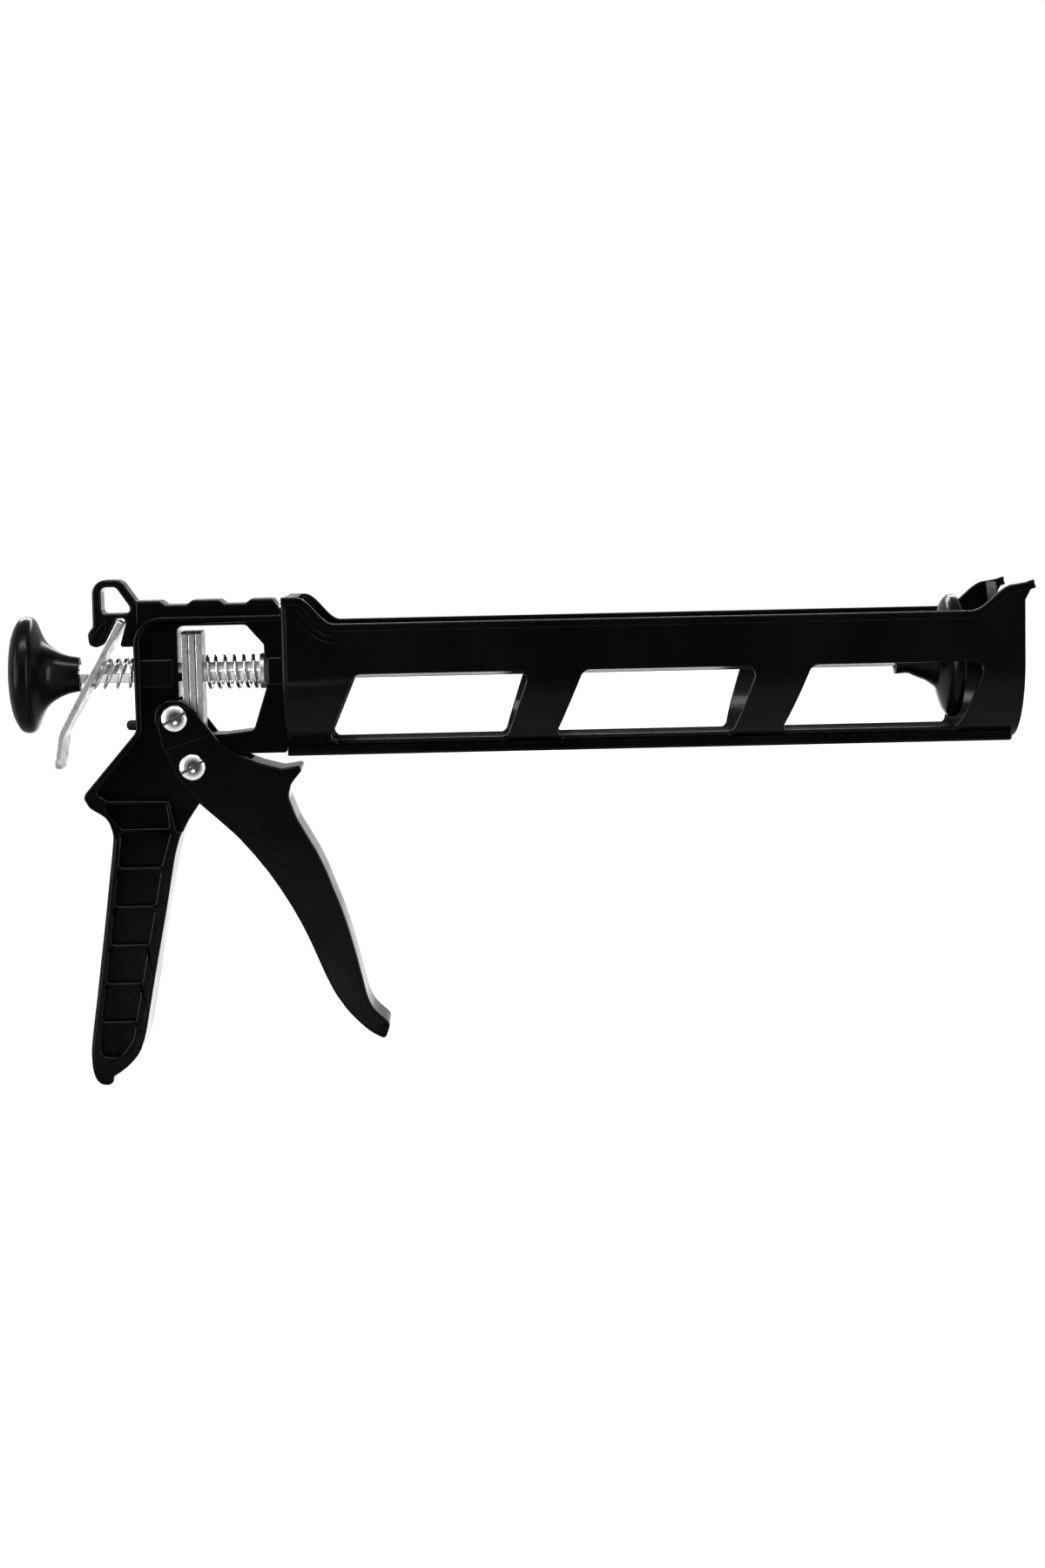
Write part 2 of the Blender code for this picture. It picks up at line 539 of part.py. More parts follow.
def trigger_outline():
    front = [(-97.7, -11.9, 4.0), (-94.4, -8.6, 3.5), (-88.8, -8.6, 4.0), (-85.3, -11.3), (-78.1, -21.1, 6.0),
             (-71.8, -26.4, 8.0), (-64.3, -29.6, 8.0), (-57.1, -31.6, 4.0), (-51.0, -30.7, 1.0),
             (-50.4, -32.4, 1.0), (-54.0, -36.7, 3.0), (-55.0, -40.7, 4.0), (-52.3, -48.1, 8.0),
             (-48.9, -54.1), (-45.7, -59.8), (-43.1, -65.6), (-41.0, -71.4), (-38.8, -77.1), (-36.9, -82.9),
             (-35.3, -88.7), (-33.8, -94.5), (-32.4, -100.3), (-31.1, -106.1), (-29.9, -109.4),
             (-28.2, -112.0), (-24.9, -114.9), (-23.7, -116.3), (-24.2, -118.2), (-25.4, -121.3, 0.8)]
    rear = [(-29.9, -119.1), (-34.0, -115.4), (-37.6, -111.5), (-41.5, -105.8), (-44.3, -100.0),
            (-46.7, -94.2), (-49.1, -88.4), (-51.8, -82.6), (-54.9, -76.8), (-58.4, -71.0),
            (-62.3, -65.2), (-66.9, -59.3), (-71.9, -53.5), (-77.8, -48.0), (-83.9, -42.5, 10.0),
            (-90.9, -34.3, 8.0), (-94.6, -25.8, 8.0), (-97.8, -15.5, 3.0)]
    return fillet(front + rear, math.radians(20))


def trigger_channel():
    """The room between the cheeks: open at the rear and around the frame's web."""
    return [(-105.0, 0.7), (-66.0, -0.4), (-66.8, -31.8), (-58.1, -35.2), (-58.1, -40.6), (-55.2, -49.5),
            (-48.9, -60.2), (-44.9, -70.5), (-39.3, -83.5), (-36.1, -96.4), (-34.0, -107.8),
            (-34.5, -111.2), (-48.1, -118.9), (-72.1, -80.2), (-106.2, -44.3)]


def make_trigger(mat):
    bm = bmesh.new()
    add_prism(bm, trigger_outline(), -CHEEK_OUTER, CHEEK_OUTER)
    trigger = new_object("trigger", bm, mat)
    boolean(trigger, "DIFFERENCE", lambda bm: add_prism(bm, trigger_channel(), -CHEEK_INNER, CHEEK_INNER))

    def holes(bm):
        for (x, z), radius in ((PIVOT, PIVOT_RADIUS), (DRIVE_PIN, DRIVE_PIN_RADIUS)):
            add_cylinder(bm, (x, 0, z), radius + GAP, -20.0, 20.0, "Y")
    boolean(trigger, "DIFFERENCE", holes)
    return trigger


def make_barrel_bolt(names, centre, barrel, mat):
    """Slotted screw from the near side, and a headed barrel from the far side that it threads into."""
    x, z = centre
    seat = CHEEK_OUTER + GAP
    shank = barrel - 1.2
    bore = shank + GAP
    bm = bmesh.new()
    add_lathe(bm, [(-seat - HEAD_THICKNESS, 0), (-seat - HEAD_THICKNESS, HEAD_RADIUS - 1.1),
                   (-seat - 0.7 * HEAD_THICKNESS, HEAD_RADIUS - 0.3), (-seat - 0.3 * HEAD_THICKNESS, HEAD_RADIUS),
                   (-seat, HEAD_RADIUS), (-seat, shank), (4.0, shank), (4.0, 0)], 24, (x, 0, z), "Y")
    screw = new_object(names[0], bm, mat)

    def slot(bm):
        along = Vector((math.cos(SLOT_TILT), math.sin(SLOT_TILT))) * 6.0
        wide = Vector((-math.sin(SLOT_TILT), math.cos(SLOT_TILT))) * 0.5
        middle = Vector(centre)
        corners = [middle - along - wide, middle + along - wide, middle + along + wide, middle - along + wide]
        add_prism(bm, [tuple(p) for p in corners], -20.0, -seat - 0.5 * HEAD_THICKNESS)
    boolean(screw, "DIFFERENCE", slot)

    bm = bmesh.new()
    add_lathe(bm, [(seat + HEAD_THICKNESS, 0), (seat + HEAD_THICKNESS, HEAD_RADIUS - 1.1),
                   (seat + 0.7 * HEAD_THICKNESS, HEAD_RADIUS - 0.3), (seat + 0.3 * HEAD_THICKNESS, HEAD_RADIUS),
                   (seat, HEAD_RADIUS), (seat, barrel), (-10.6, barrel), (-10.6, bore), (6.0, bore),
                   (6.0, 0)], 24, (x, 0, z), "Y")
    nut = new_object(names[1], bm, mat)
    return screw, nut


# ---------------------------------------------------------------- assembly

def joint_empty(name, x, z, pieces):
    """An empty on a joint's axis that carries the pieces that move on it."""
    empty = bpy.data.objects.new(name, None)
    bpy.context.collection.objects.link(empty)
    empty.location = Vector((x, 0, z)) * MM
    for piece in pieces:
        piece.parent = empty
        piece.matrix_parent_inverse = Matrix.Translation(-empty.location)


def build():
    clear_scene()
    black = material("black_plastic", (0.008, 0.008, 0.009), 0.18, 0.0)
    rubber = material("black_rubber", (0.015, 0.015, 0.015), 0.6, 0.0)
    bright = material("bright_steel", (0.75, 0.76, 0.78), 0.22, 1.0)
    zinc = material("zinc_steel", (0.62, 0.63, 0.64), 0.38, 1.0)
    chrome = material("chrome", (0.85, 0.86, 0.88), 0.08, 1.0)

    make_frame(black)
    make_cradle(black)
    make_cradle_screws(zinc)
    make_barrel_bolt(("pivot_screw", "pivot_barrel_nut"), PIVOT, PIVOT_RADIUS, chrome)
    make_peg(rubber)
    joint_empty("rod_axis", 0, 0, [make_rod(bright), *make_plunger(black, zinc), make_knob(black)])
    main_spring, washer, release_spring = make_springs(bright, zinc)
    joint_empty("drive_axis", PLATE_REAR, 0, make_drive_plates(zinc))
    joint_empty("lever_axis", *LEVER_PIVOT, [make_release_lever(zinc)])
    joint_empty("trigger_axis", *PIVOT, [make_trigger(black), *make_barrel_bolt(
        ("drive_pin_screw", "drive_pin_barrel_nut"), DRIVE_PIN, DRIVE_PIN_RADIUS, chrome)])

    for obj in bpy.data.objects:
        if obj.parent is None:
            obj.location -= Vector(GRIP_CENTRE) * MM


build()
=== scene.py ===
"""Looks of the caulking gun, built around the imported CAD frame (Blender 4.5).

Shapes are drawn in millimetres in the rod's frame (X along the rod, Y = 0 the middle plane,
Z = 0 the rod's axis) and put in place by finish_piece, which reads that frame's origin from
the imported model.
"""

import math

import bmesh
import bpy
from mathutils import Matrix, Vector
from mathutils.geometry import delaunay_2d_cdt, tessellate_polygon


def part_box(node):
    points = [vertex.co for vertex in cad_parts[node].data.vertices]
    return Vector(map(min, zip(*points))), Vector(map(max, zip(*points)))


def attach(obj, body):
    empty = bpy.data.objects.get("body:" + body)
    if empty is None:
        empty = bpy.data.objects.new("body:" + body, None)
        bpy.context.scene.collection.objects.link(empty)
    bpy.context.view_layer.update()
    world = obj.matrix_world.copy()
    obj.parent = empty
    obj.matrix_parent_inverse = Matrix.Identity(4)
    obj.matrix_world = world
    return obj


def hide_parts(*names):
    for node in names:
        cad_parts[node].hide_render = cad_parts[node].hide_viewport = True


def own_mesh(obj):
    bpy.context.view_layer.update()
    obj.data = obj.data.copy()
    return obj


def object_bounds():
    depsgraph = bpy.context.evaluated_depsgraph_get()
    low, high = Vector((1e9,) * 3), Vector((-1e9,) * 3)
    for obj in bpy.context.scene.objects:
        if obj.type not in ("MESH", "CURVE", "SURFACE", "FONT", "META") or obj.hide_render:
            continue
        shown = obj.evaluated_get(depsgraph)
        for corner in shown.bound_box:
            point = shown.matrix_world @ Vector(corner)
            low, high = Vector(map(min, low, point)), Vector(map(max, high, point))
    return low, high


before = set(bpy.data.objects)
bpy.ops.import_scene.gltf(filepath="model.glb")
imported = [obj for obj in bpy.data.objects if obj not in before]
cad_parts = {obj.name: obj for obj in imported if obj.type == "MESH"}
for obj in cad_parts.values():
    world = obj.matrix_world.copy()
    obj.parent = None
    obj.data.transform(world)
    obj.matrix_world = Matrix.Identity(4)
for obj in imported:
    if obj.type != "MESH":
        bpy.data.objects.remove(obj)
cad_low, cad_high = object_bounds()

MM = 0.001
CRADLE_REAR = -54.8  # the cradle's rear face
FRAME_FRONT = CRADLE_REAR - 0.3  # the frame's front face, behind the seam
ROD_BORE = 3.95  # radius of every hole that the rod runs through
ROD_LOW, ROD_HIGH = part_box("plunger_rod")
ORIGIN = Vector((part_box("cradle")[0].x - CRADLE_REAR * MM, 0.0, (ROD_LOW.z + ROD_HIGH.z) / 2))


# ---------------------------------------------------------------- outlines

def fillet(corners, step=math.radians(11)):
    """Outline from corners (x, z) or (x, z, radius): a radius turns the corner into an arc."""
    outline = []
    count = len(corners)
    for i, corner in enumerate(corners):
        here = Vector(corner[:2])
        radius = corner[2] if len(corner) > 2 else 0.0
        back = Vector(corners[i - 1][:2]) - here
        ahead = Vector(corners[(i + 1) % count][:2]) - here
        inside = back.angle(ahead)
        reach = radius / math.tan(inside / 2)
        if radius == 0.0 or reach < 1e-4:
            outline.append(tuple(here))
            continue
        reach = min(reach, 0.49 * back.length, 0.49 * ahead.length)
        radius = reach * math.tan(inside / 2)
        middle = here + (back.normalized() + ahead.normalized()).normalized() * math.hypot(radius, reach)
        first = here + back.normalized() * reach - middle
        turn = math.pi - inside
        side = 1.0 if back.x * ahead.y - back.y * ahead.x < 0 else -1.0
        parts = max(1, math.ceil(turn / step))
        for k in range(parts + 1):
            angle = side * turn * k / parts
            cos, sin = math.cos(angle), math.sin(angle)
            outline.append((middle.x + first.x * cos - first.y * sin,
                            middle.y + first.x * sin + first.y * cos))
    return outline


def area(outline):
    """Area inside an outline, positive if it runs anticlockwise."""
    return sum(a[0] * b[1] - b[0] * a[1] for a, b in zip(outline, outline[1:] + outline[:1])) / 2


def turned(outline, anticlockwise):
    """The outline in the asked direction, without repeated points."""
    clean = [p for i, p in enumerate(outline) if math.dist(p, outline[i - 1]) > 0.02]
    return clean if (area(clean) > 0) == anticlockwise else clean[::-1]


def inset(outline, distance):
    """The outline moved to its left by a distance, corners mitred."""
    moved = []
    count = len(outline)
    for i, point in enumerate(outline):
        before = (Vector(point) - Vector(outline[i - 1])).normalized()
        after = (Vector(outline[(i + 1) % count]) - Vector(point)).normalized()
        one, two = Vector((-before.y, before.x)), Vector((-after.y, after.x))
        shift = (one + two) / max(0.35, 1 + one.dot(two)) * distance
        moved.append((point[0] + shift.x, point[1] + shift.y))
    return moved


def circle(centre, radius, parts=32):
    return [(centre[0] + radius * math.cos(2 * math.pi * k / parts),
             centre[1] + radius * math.sin(2 * math.pi * k / parts)) for k in range(parts)]


def lower_half(radius, parts):
    """Lower half of a circle round the rod's axis, as (y, z) from the right side to the left."""
    angles = [math.pi + math.pi * k / parts for k in range(parts + 1)]
    return [(radius * math.cos(angle), radius * math.sin(angle)) for angle in angles]


def hexagon(across_flats, radius):
    """Hexagon round the rod's axis, with rounded corners."""
    corner = across_flats / 2 / math.cos(math.pi / 6)
    return fillet([(corner * math.cos(math.pi / 3 * k), corner * math.sin(math.pi / 3 * k), radius)
                   for k in range(6)])


def s_curve(start, end, parts=16):
    """Points of a smooth step between two points, level at both ends."""
    return [(start[0] + (end[0] - start[0]) * k / parts,
             start[1] + (end[1] - start[1]) * (0.5 - 0.5 * math.cos(math.pi * k / parts)))
            for k in range(parts + 1)]


def height_on(line, z):
    """X of a polyline at height z."""
    for (x0, z0), (x1, z1) in zip(line, line[1:]):
        if min(z0, z1) <= z <= max(z0, z1) and z0 != z1:
            return x0 + (x1 - x0) * (z - z0) / (z1 - z0)
    return line[-1][0]


def smooth_profile(points, parts=5, lowest=0.0):
    """Catmull-Rom curve through points. Its second coordinate goes no lower than lowest, if given."""
    spots = [Vector(p) for p in points]
    spots = [spots[0] * 2 - spots[1]] + spots + [spots[-1] * 2 - spots[-2]]
    curve = []
    for a, b, c, d in zip(spots, spots[1:], spots[2:], spots[3:]):
        for k in range(parts):
            t = k / parts
            spot = 0.5 * (2 * b + (c - a) * t + (2 * a - 5 * b + 4 * c - d) * t ** 2
                          + (3 * b - 3 * c + d - a) * t ** 3)
            curve.append((spot.x, spot.y if lowest is None else max(spot.y, lowest)))
    return curve + [tuple(points[-1])]


# ---------------------------------------------------------------- solids

def cap_triangles(outlines, distance):
    """Triangles that fill the inset outlines, or the full ones where the inset folds over itself."""
    def fill(loops):
        return tessellate_polygon([[Vector((*p, 0.0)) for p in loop] for loop in loops])

    moved = [inset(outline, distance) for outline in outlines]
    spots = [Vector(p) for loop in moved for p in loop]
    triangles = fill(moved)
    covered = sum(abs((spots[b] - spots[a]).cross(spots[c] - spots[a])) / 2
                  for a, b, c in triangles)
    wanted = abs(sum(area(loop) for loop in moved))
    return triangles if abs(covered - wanted) < 0.01 * wanted else fill(outlines)


def add_plate(bm, outer, holes=(), low=-1.0, high=1.0, edges=(0.5, 0.5), axis="Y", rings=4):
    """Flat solid with rounded rims: an outline with holes, between two places along an axis.

    edges gives the rim radius at the low and at the high side.
    """
    def place(point, along):
        if axis == "Y":
            return Vector((point[0], along, point[1]))
        return Vector((along, point[0], point[1]))

    profile = []
    for k in range(rings + 1):
        angle = math.pi / 2 * k / rings
        profile.append((edges[0] * (1 - math.sin(angle)), low + edges[0] * (1 - math.cos(angle))))
    for k in range(rings, -1, -1):
        angle = math.pi / 2 * k / rings
        profile.append((edges[1] * (1 - math.sin(angle)), high - edges[1] * (1 - math.cos(angle))))
    if edges[0] == 0:
        profile = profile[rings:]
    if edges[1] == 0:
        profile = profile[:-rings]
    outlines = [turned(outer, True)] + [turned(hole, False) for hole in holes]
    made = []
    rims = ([], [])
    for outline in outlines:
        loops = [[bm.verts.new(place(p, along)) for p in inset(outline, distance)]
                 for distance, along in profile]
        count = len(outline)
        for one, two in zip(loops, loops[1:]):
            for i in range(count):
                j = (i + 1) % count
                made.append(bm.faces.new((one[i], one[j], two[j], two[i])))
        rims[0].append(loops[0])
        rims[1].append(loops[-1])
    for side, distance in zip(rims, (profile[0][0], profile[-1][0])):
        flat = [v for loop in side for v in loop]
        made += [bm.faces.new([flat[i] for i in corners])
                 for corners in cap_triangles(outlines, distance)]
    bmesh.ops.recalc_face_normals(bm, faces=made)


def add_lathe(bm, profile, segments=64, centre=(0.0, 0.0, 0.0), axis="X", ring=False):
    """Profile of (along, radius) turned about X or Y. A ring's profile closes on itself."""
    loops = []
    for along, radius in profile:
        count = segments if radius > 0 else 1
        loop = []
        for k in range(count):
            angle = 2 * math.pi * k / segments
            a, b = radius * math.cos(angle), radius * math.sin(angle)
            spot = Vector((along, a, b)) if axis == "X" else Vector((a, along, b))
            loop.append(bm.verts.new(spot + Vector(centre)))
        loops.append(loop)
    pairs = list(zip(loops, loops[1:])) + ([(loops[-1], loops[0])] if ring else [])
    made = []
    for one, two in pairs:
        for k in range(segments):
            n = (k + 1) % segments
            corners = [one[k % len(one)], one[n % len(one)], two[n % len(two)], two[k % len(two)]]
            corners = [v for i, v in enumerate(corners) if v not in corners[:i]]
            if len(corners) > 2:
                made.append(bm.faces.new(corners))
    bmesh.ops.recalc_face_normals(bm, faces=made)


def add_tube(bm, path, radius, sides=12):
    """Round wire along a path, with rounded ends."""
    count = len(path) - 1
    loops = []
    across = None
    for k, spot in enumerate(path):
        ahead = (path[min(k + 1, count)] - path[max(k - 1, 0)]).normalized()
        if across is None:
            across = ahead.orthogonal().normalized()
        across = (across - ahead * across.dot(ahead)).normalized()
        out = ahead.cross(across)
        shrink = 0.7 if k in (0, count) else 1.0
        loops.append([bm.verts.new(spot + (across * math.cos(a) + out * math.sin(a)) * radius * shrink)
                      for a in (2 * math.pi * s / sides for s in range(sides))])
    made = [bm.faces.new(loops[0]), bm.faces.new(loops[-1])]
    for one, two in zip(loops, loops[1:]):
        for s in range(sides):
            n = (s + 1) % sides
            made.append(bm.faces.new((one[s], one[n], two[n], two[s])))
    bmesh.ops.recalc_face_normals(bm, faces=made)


def cut(target, build_tool, operation="DIFFERENCE"):
    """Boolean with the shapes that build_tool adds, applied at once."""
    bm = bmesh.new()
    build_tool(bm)
    mesh = bpy.data.meshes.new("tool")
    bm.to_mesh(mesh)
    bm.free()
    tool = bpy.data.objects.new("tool", mesh)
    bpy.context.scene.collection.objects.link(tool)
    modifier = target.modifiers.new("cut", "BOOLEAN")
    modifier.operation = operation
    modifier.object = tool
    apply_modifiers(target)
    bpy.data.objects.remove(tool, do_unlink=True)


def apply_modifiers(obj):
    bpy.context.view_layer.update()
    evaluated = obj.evaluated_get(bpy.context.evaluated_depsgraph_get())
    result = bpy.data.meshes.new_from_object(evaluated)
    obj.modifiers.clear()
    obj.data = result


def raw_piece(name, bm):
    """Object in the scene from a bmesh, which is freed."""
    mesh = bpy.data.meshes.new(name)
    bm.to_mesh(mesh)
    bm.free()
    obj = bpy.data.objects.new(name, mesh)
    bpy.context.scene.collection.objects.link(obj)
    return obj


def finish_piece(obj, node, body, mat, sharp=38, bevel=0.0):
    """Bevels if asked, smooths edges below a sharp angle in degrees, and tells the frame."""
    if bevel:
        modifier = obj.modifiers.new("edge", "BEVEL")
        modifier.width = bevel
        modifier.segments = 3
        modifier.limit_method = "ANGLE"
        modifier.angle_limit = math.radians(35)
        apply_modifiers(obj)
    obj.data.transform(Matrix.Translation(ORIGIN) @ Matrix.Diagonal((MM, MM, MM, 1.0)))
    obj.data.shade_smooth()
    obj.data.set_sharp_from_angle(angle=math.radians(sharp))
    weighted = obj.modifiers.new("normals", "WEIGHTED_NORMAL")
    weighted.keep_sharp = True
    weighted.weight = 60
    obj.data.materials.clear()
    obj.data.materials.append(mat)
    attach(obj, body)
    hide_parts(node)
    return obj


# ---------------------------------------------------------------- materials

def grey(value):
    return (value, value, value)


class Nodes:
    """Short way to add and link shader nodes."""

    def __init__(self, name):
        self.mat = bpy.data.materials.new(name)
        self.mat.use_nodes = True
        self.tree = self.mat.node_tree
        self.shader = self.tree.nodes["Principled BSDF"]
        self.coords = self.add("TexCoord").outputs["Object"]

    def add(self, kind, **values):
        node = self.tree.nodes.new("ShaderNode" + kind)
        for key, value in values.items():
            if hasattr(node, key):
                setattr(node, key, value)
            else:
                node.inputs[key.replace("_", " ")].default_value = value
        return node

    def link(self, source, target):
        self.tree.links.new(source, target)

    def feed(self, name, value):
        """Links an output to one of the shader's inputs, or sets a number or colour on it."""
        if isinstance(value, bpy.types.NodeSocket):
            self.link(value, self.shader.inputs[name])
        else:
            self.shader.inputs[name].default_value = value

    def stretch(self, scale):
        node = self.add("Mapping")
        node.inputs["Scale"].default_value = scale
        self.link(self.coords, node.inputs["Vector"])
        return node.outputs["Vector"]

    def noise(self, scale, detail=3.0, roughness=0.5, vector=None):
        node = self.add("TexNoise", Scale=scale, Detail=detail, Roughness=roughness)
        self.link(vector or self.coords, node.inputs["Vector"])
        return node.outputs["Fac"]

    def ramp(self, source, stops):
        node = self.add("ValToRGB")
        elements = node.color_ramp.elements
        while len(elements) < len(stops):
            elements.new(0.5)
        for element, (position, colour) in zip(elements, stops):
            element.position = position
            element.color = (*colour, 1.0) if len(colour) == 3 else colour
        self.link(source, node.inputs["Fac"])
        return node.outputs["Color"]

    def span(self, source, low, high, start=0.0, stop=1.0):
        node = self.add("MapRange")
        for name, value in (("From Min", start), ("From Max", stop), ("To Min", low), ("To Max", high)):
            node.inputs[name].default_value = value
        self.link(source, node.inputs["Value"])
        return node.outputs["Result"]

    def bump(self, source, strength, distance, normal=None):
        node = self.add("Bump", Strength=strength, Distance=distance)
        self.link(source, node.inputs["Height"])
        if normal:
            self.link(normal, node.inputs["Normal"])
        return node.outputs["Normal"]


def moulded_plastic():
    """Glossy black moulding: flow streaks, smears in the gloss, orange peel and a fine grain."""
    n = Nodes("black_moulded_plastic")
    flow = n.noise(38, 4, 0.6, n.stretch((1.0, 1.0, 0.5)))
    colour = n.ramp(flow, [(0.3, grey(0.0005)), (0.75, grey(0.0016))])
    n.feed("Base Color", colour)
    smears = n.noise(22, 6, 0.65)
    n.feed("Roughness", n.span(smears, 0.13, 0.27, 0.3, 0.75))
    peel = n.bump(n.noise(420, 2, 0.4), 0.10, 0.0004)
    grain = n.bump(n.noise(2600, 2, 0.5), 0.05, 0.00015, peel)
    n.feed("Normal", grain)
    n.feed("Specular IOR Level", 0.07)
    return n.mat


def drawn_steel(name, along, base, rough):
    """Bright drawn steel: brightness base, roughness between two values, fine lines along a stretch."""
    n = Nodes(name)
    lines = n.noise(300, 4, 0.7, n.stretch(along))
    cloud = n.noise(60, 4, 0.6)
    colour = n.ramp(cloud, [(0.3, (base * 0.82, base * 0.83, base * 0.85)),
                            (0.7, (base, base, base * 1.02))])
    n.feed("Base Color", colour)
    n.feed("Roughness", n.span(lines, rough[0], rough[1], 0.3, 0.7))
    n.feed("Normal", n.bump(lines, 0.12, 0.0002))
    n.feed("Metallic", 1.0)
    return n.mat


def zinc_plate():
    """Dull zinc plating: blotchy grains that vary in colour and gloss, on a slightly rough face."""
    n = Nodes("zinc_plating")
    cells = n.add("TexVoronoi", Scale=900.0)
    n.link(n.coords, cells.inputs["Vector"])
    blotch = n.noise(330, 5, 0.7)
    mixed = n.add("Math", operation="MULTIPLY")
    n.link(cells.outputs["Distance"], mixed.inputs[0])
    n.link(blotch, mixed.inputs[1])
    colour = n.ramp(blotch, [(0.32, (0.34, 0.34, 0.35)), (0.5, (0.6, 0.6, 0.61)), (0.7, grey(0.8))])
    n.feed("Base Color", colour)
    n.feed("Roughness", n.span(blotch, 0.5, 0.25, 0.3, 0.7))
    n.feed("Normal", n.bump(mixed.outputs["Value"], 0.35, 0.0003))
    n.feed("Metallic", 1.0)
    return n.mat


def chrome_plate():
    """Polished plating with faint polishing swirls."""
    n = Nodes("chrome_plating")
    swirl = n.noise(500, 5, 0.6)
    n.feed("Base Color", n.ramp(swirl, [(0.3, grey(0.8)), (0.7, grey(0.92))]))
    n.feed("Roughness", n.span(n.noise(90, 5, 0.6), 0.05, 0.16, 0.3, 0.7))
    n.feed("Normal", n.bump(swirl, 0.04, 0.0001))
    n.feed("Metallic", 1.0)
    return n.mat


def black_rubber():
    """Dull black rubber with a fine speckle."""
    n = Nodes("black_rubber")
    speck = n.noise(700, 4, 0.6)
    n.feed("Base Color", n.ramp(speck, [(0.3, grey(0.003)), (0.7, grey(0.008))]))
    n.feed("Roughness", n.span(speck, 0.45, 0.65, 0.3, 0.7))
    n.feed("Normal", n.bump(speck, 0.2, 0.0002))
    n.feed("Specular IOR Level", 0.15)
    return n.mat


PLASTIC = moulded_plastic()
ROD_STEEL = drawn_steel("bright_rod_steel", (0.04, 1.0, 1.0), 0.8, (0.12, 0.26))
WIRE_STEEL = drawn_steel("spring_wire_steel", (1.0, 1.0, 1.0), 0.78, (0.14, 0.28))
ZINC = zinc_plate()
CHROME = chrome_plate()
RUBBER = black_rubber()


# ---------------------------------------------------------------- cradle

TROUGH_RADIUS, WALL = 27.0, 1.8
RIM_Z, EAR_Z, FRONT_X, LIP_X = 15.5, 24.2, 182.8, 185.9
RIM_BAND, RIM_PROUD = 2.8, 0.3
RIDGE_DROPS, RIDGE_WIDTH = (4.0, 5.9), 0.9
WINDOWS, WINDOW_TOP, WINDOW_BOTTOM, WINDOW_PITCH = 3, -0.8, -24.0, 73.2
REAR_BEAD_X, REAR_BEAD = -53.9, 0.78
PLATE_HALF, REAR_PLATE_FRONT, NOZZLE_PLATE_REAR = TROUGH_RADIUS - 0.1, -50.8, 178.8
NOZZLE_SLOT = 12.5
RAIL_HALF, RAIL_LOW, RAIL_SHOULDER, RAIL_FRONT = 12.7, -27.5, -24.2, 181.0
TEETH = 16  # under each window
SCREW_PLACES = [(4.5, 20.2), (-4.5, 20.2), (4.5, -21.4), (-4.5, -21.4)]


def unrolled(z):
    """Distance round the trough, from its lowest line, of a point at height z on one side."""
    if z >= 0:
        return TROUGH_RADIUS * math.pi / 2 + z
    return TROUGH_RADIUS * math.acos(min(1.0, -z / TROUGH_RADIUS))


def rolled(x, s):
    """The point of the trough's side wall that is s round from its lowest line."""
    side = 1.0 if s >= 0 else -1.0
    s = abs(s)
    if s > TROUGH_RADIUS * math.pi / 2:
        return Vector((x, side * TROUGH_RADIUS, s - TROUGH_RADIUS * math.pi / 2))
    angle = s / TROUGH_RADIUS
    return Vector((x, side * TROUGH_RADIUS * math.sin(angle), -TROUGH_RADIUS * math.cos(angle)))


def subdivided(outline, longest=1.5):
    """The outline with extra points, so that it bends with the surface it is put on."""
    points = []
    for a, b in zip(outline, outline[1:] + outline[:1]):
        parts = max(1, math.ceil(math.dist(a, b) / longest))
        points += [(a[0] + (b[0] - a[0]) * k / parts, a[1] + (b[1] - a[1]) * k / parts)
                   for k in range(parts)]
    return points


def rim_line():
    """Top edge of the side wall, from the rear ear to the front ear's lip."""
    rear = s_curve((-50.0, EAR_Z), (-38.0, RIM_Z))
    front = s_curve((165.3, RIM_Z), (179.4, EAR_Z - 0.6))
    return [(CRADLE_REAR, EAR_Z)] + rear + front + [(183.0, EAR_Z), (LIP_X - 0.6, EAR_Z + 0.8)]


def window(index):
    """Slanted window in the side wall, counted from the rear."""
    shift = WINDOW_PITCH * index
    return fillet([(-32.0 + shift, WINDOW_TOP, 3.2), (24.0 + shift, WINDOW_TOP, 3.0),
                   (16.4 + shift, WINDOW_BOTTOM, 2.5), (-41.6 + shift, WINDOW_BOTTOM, 2.5)])


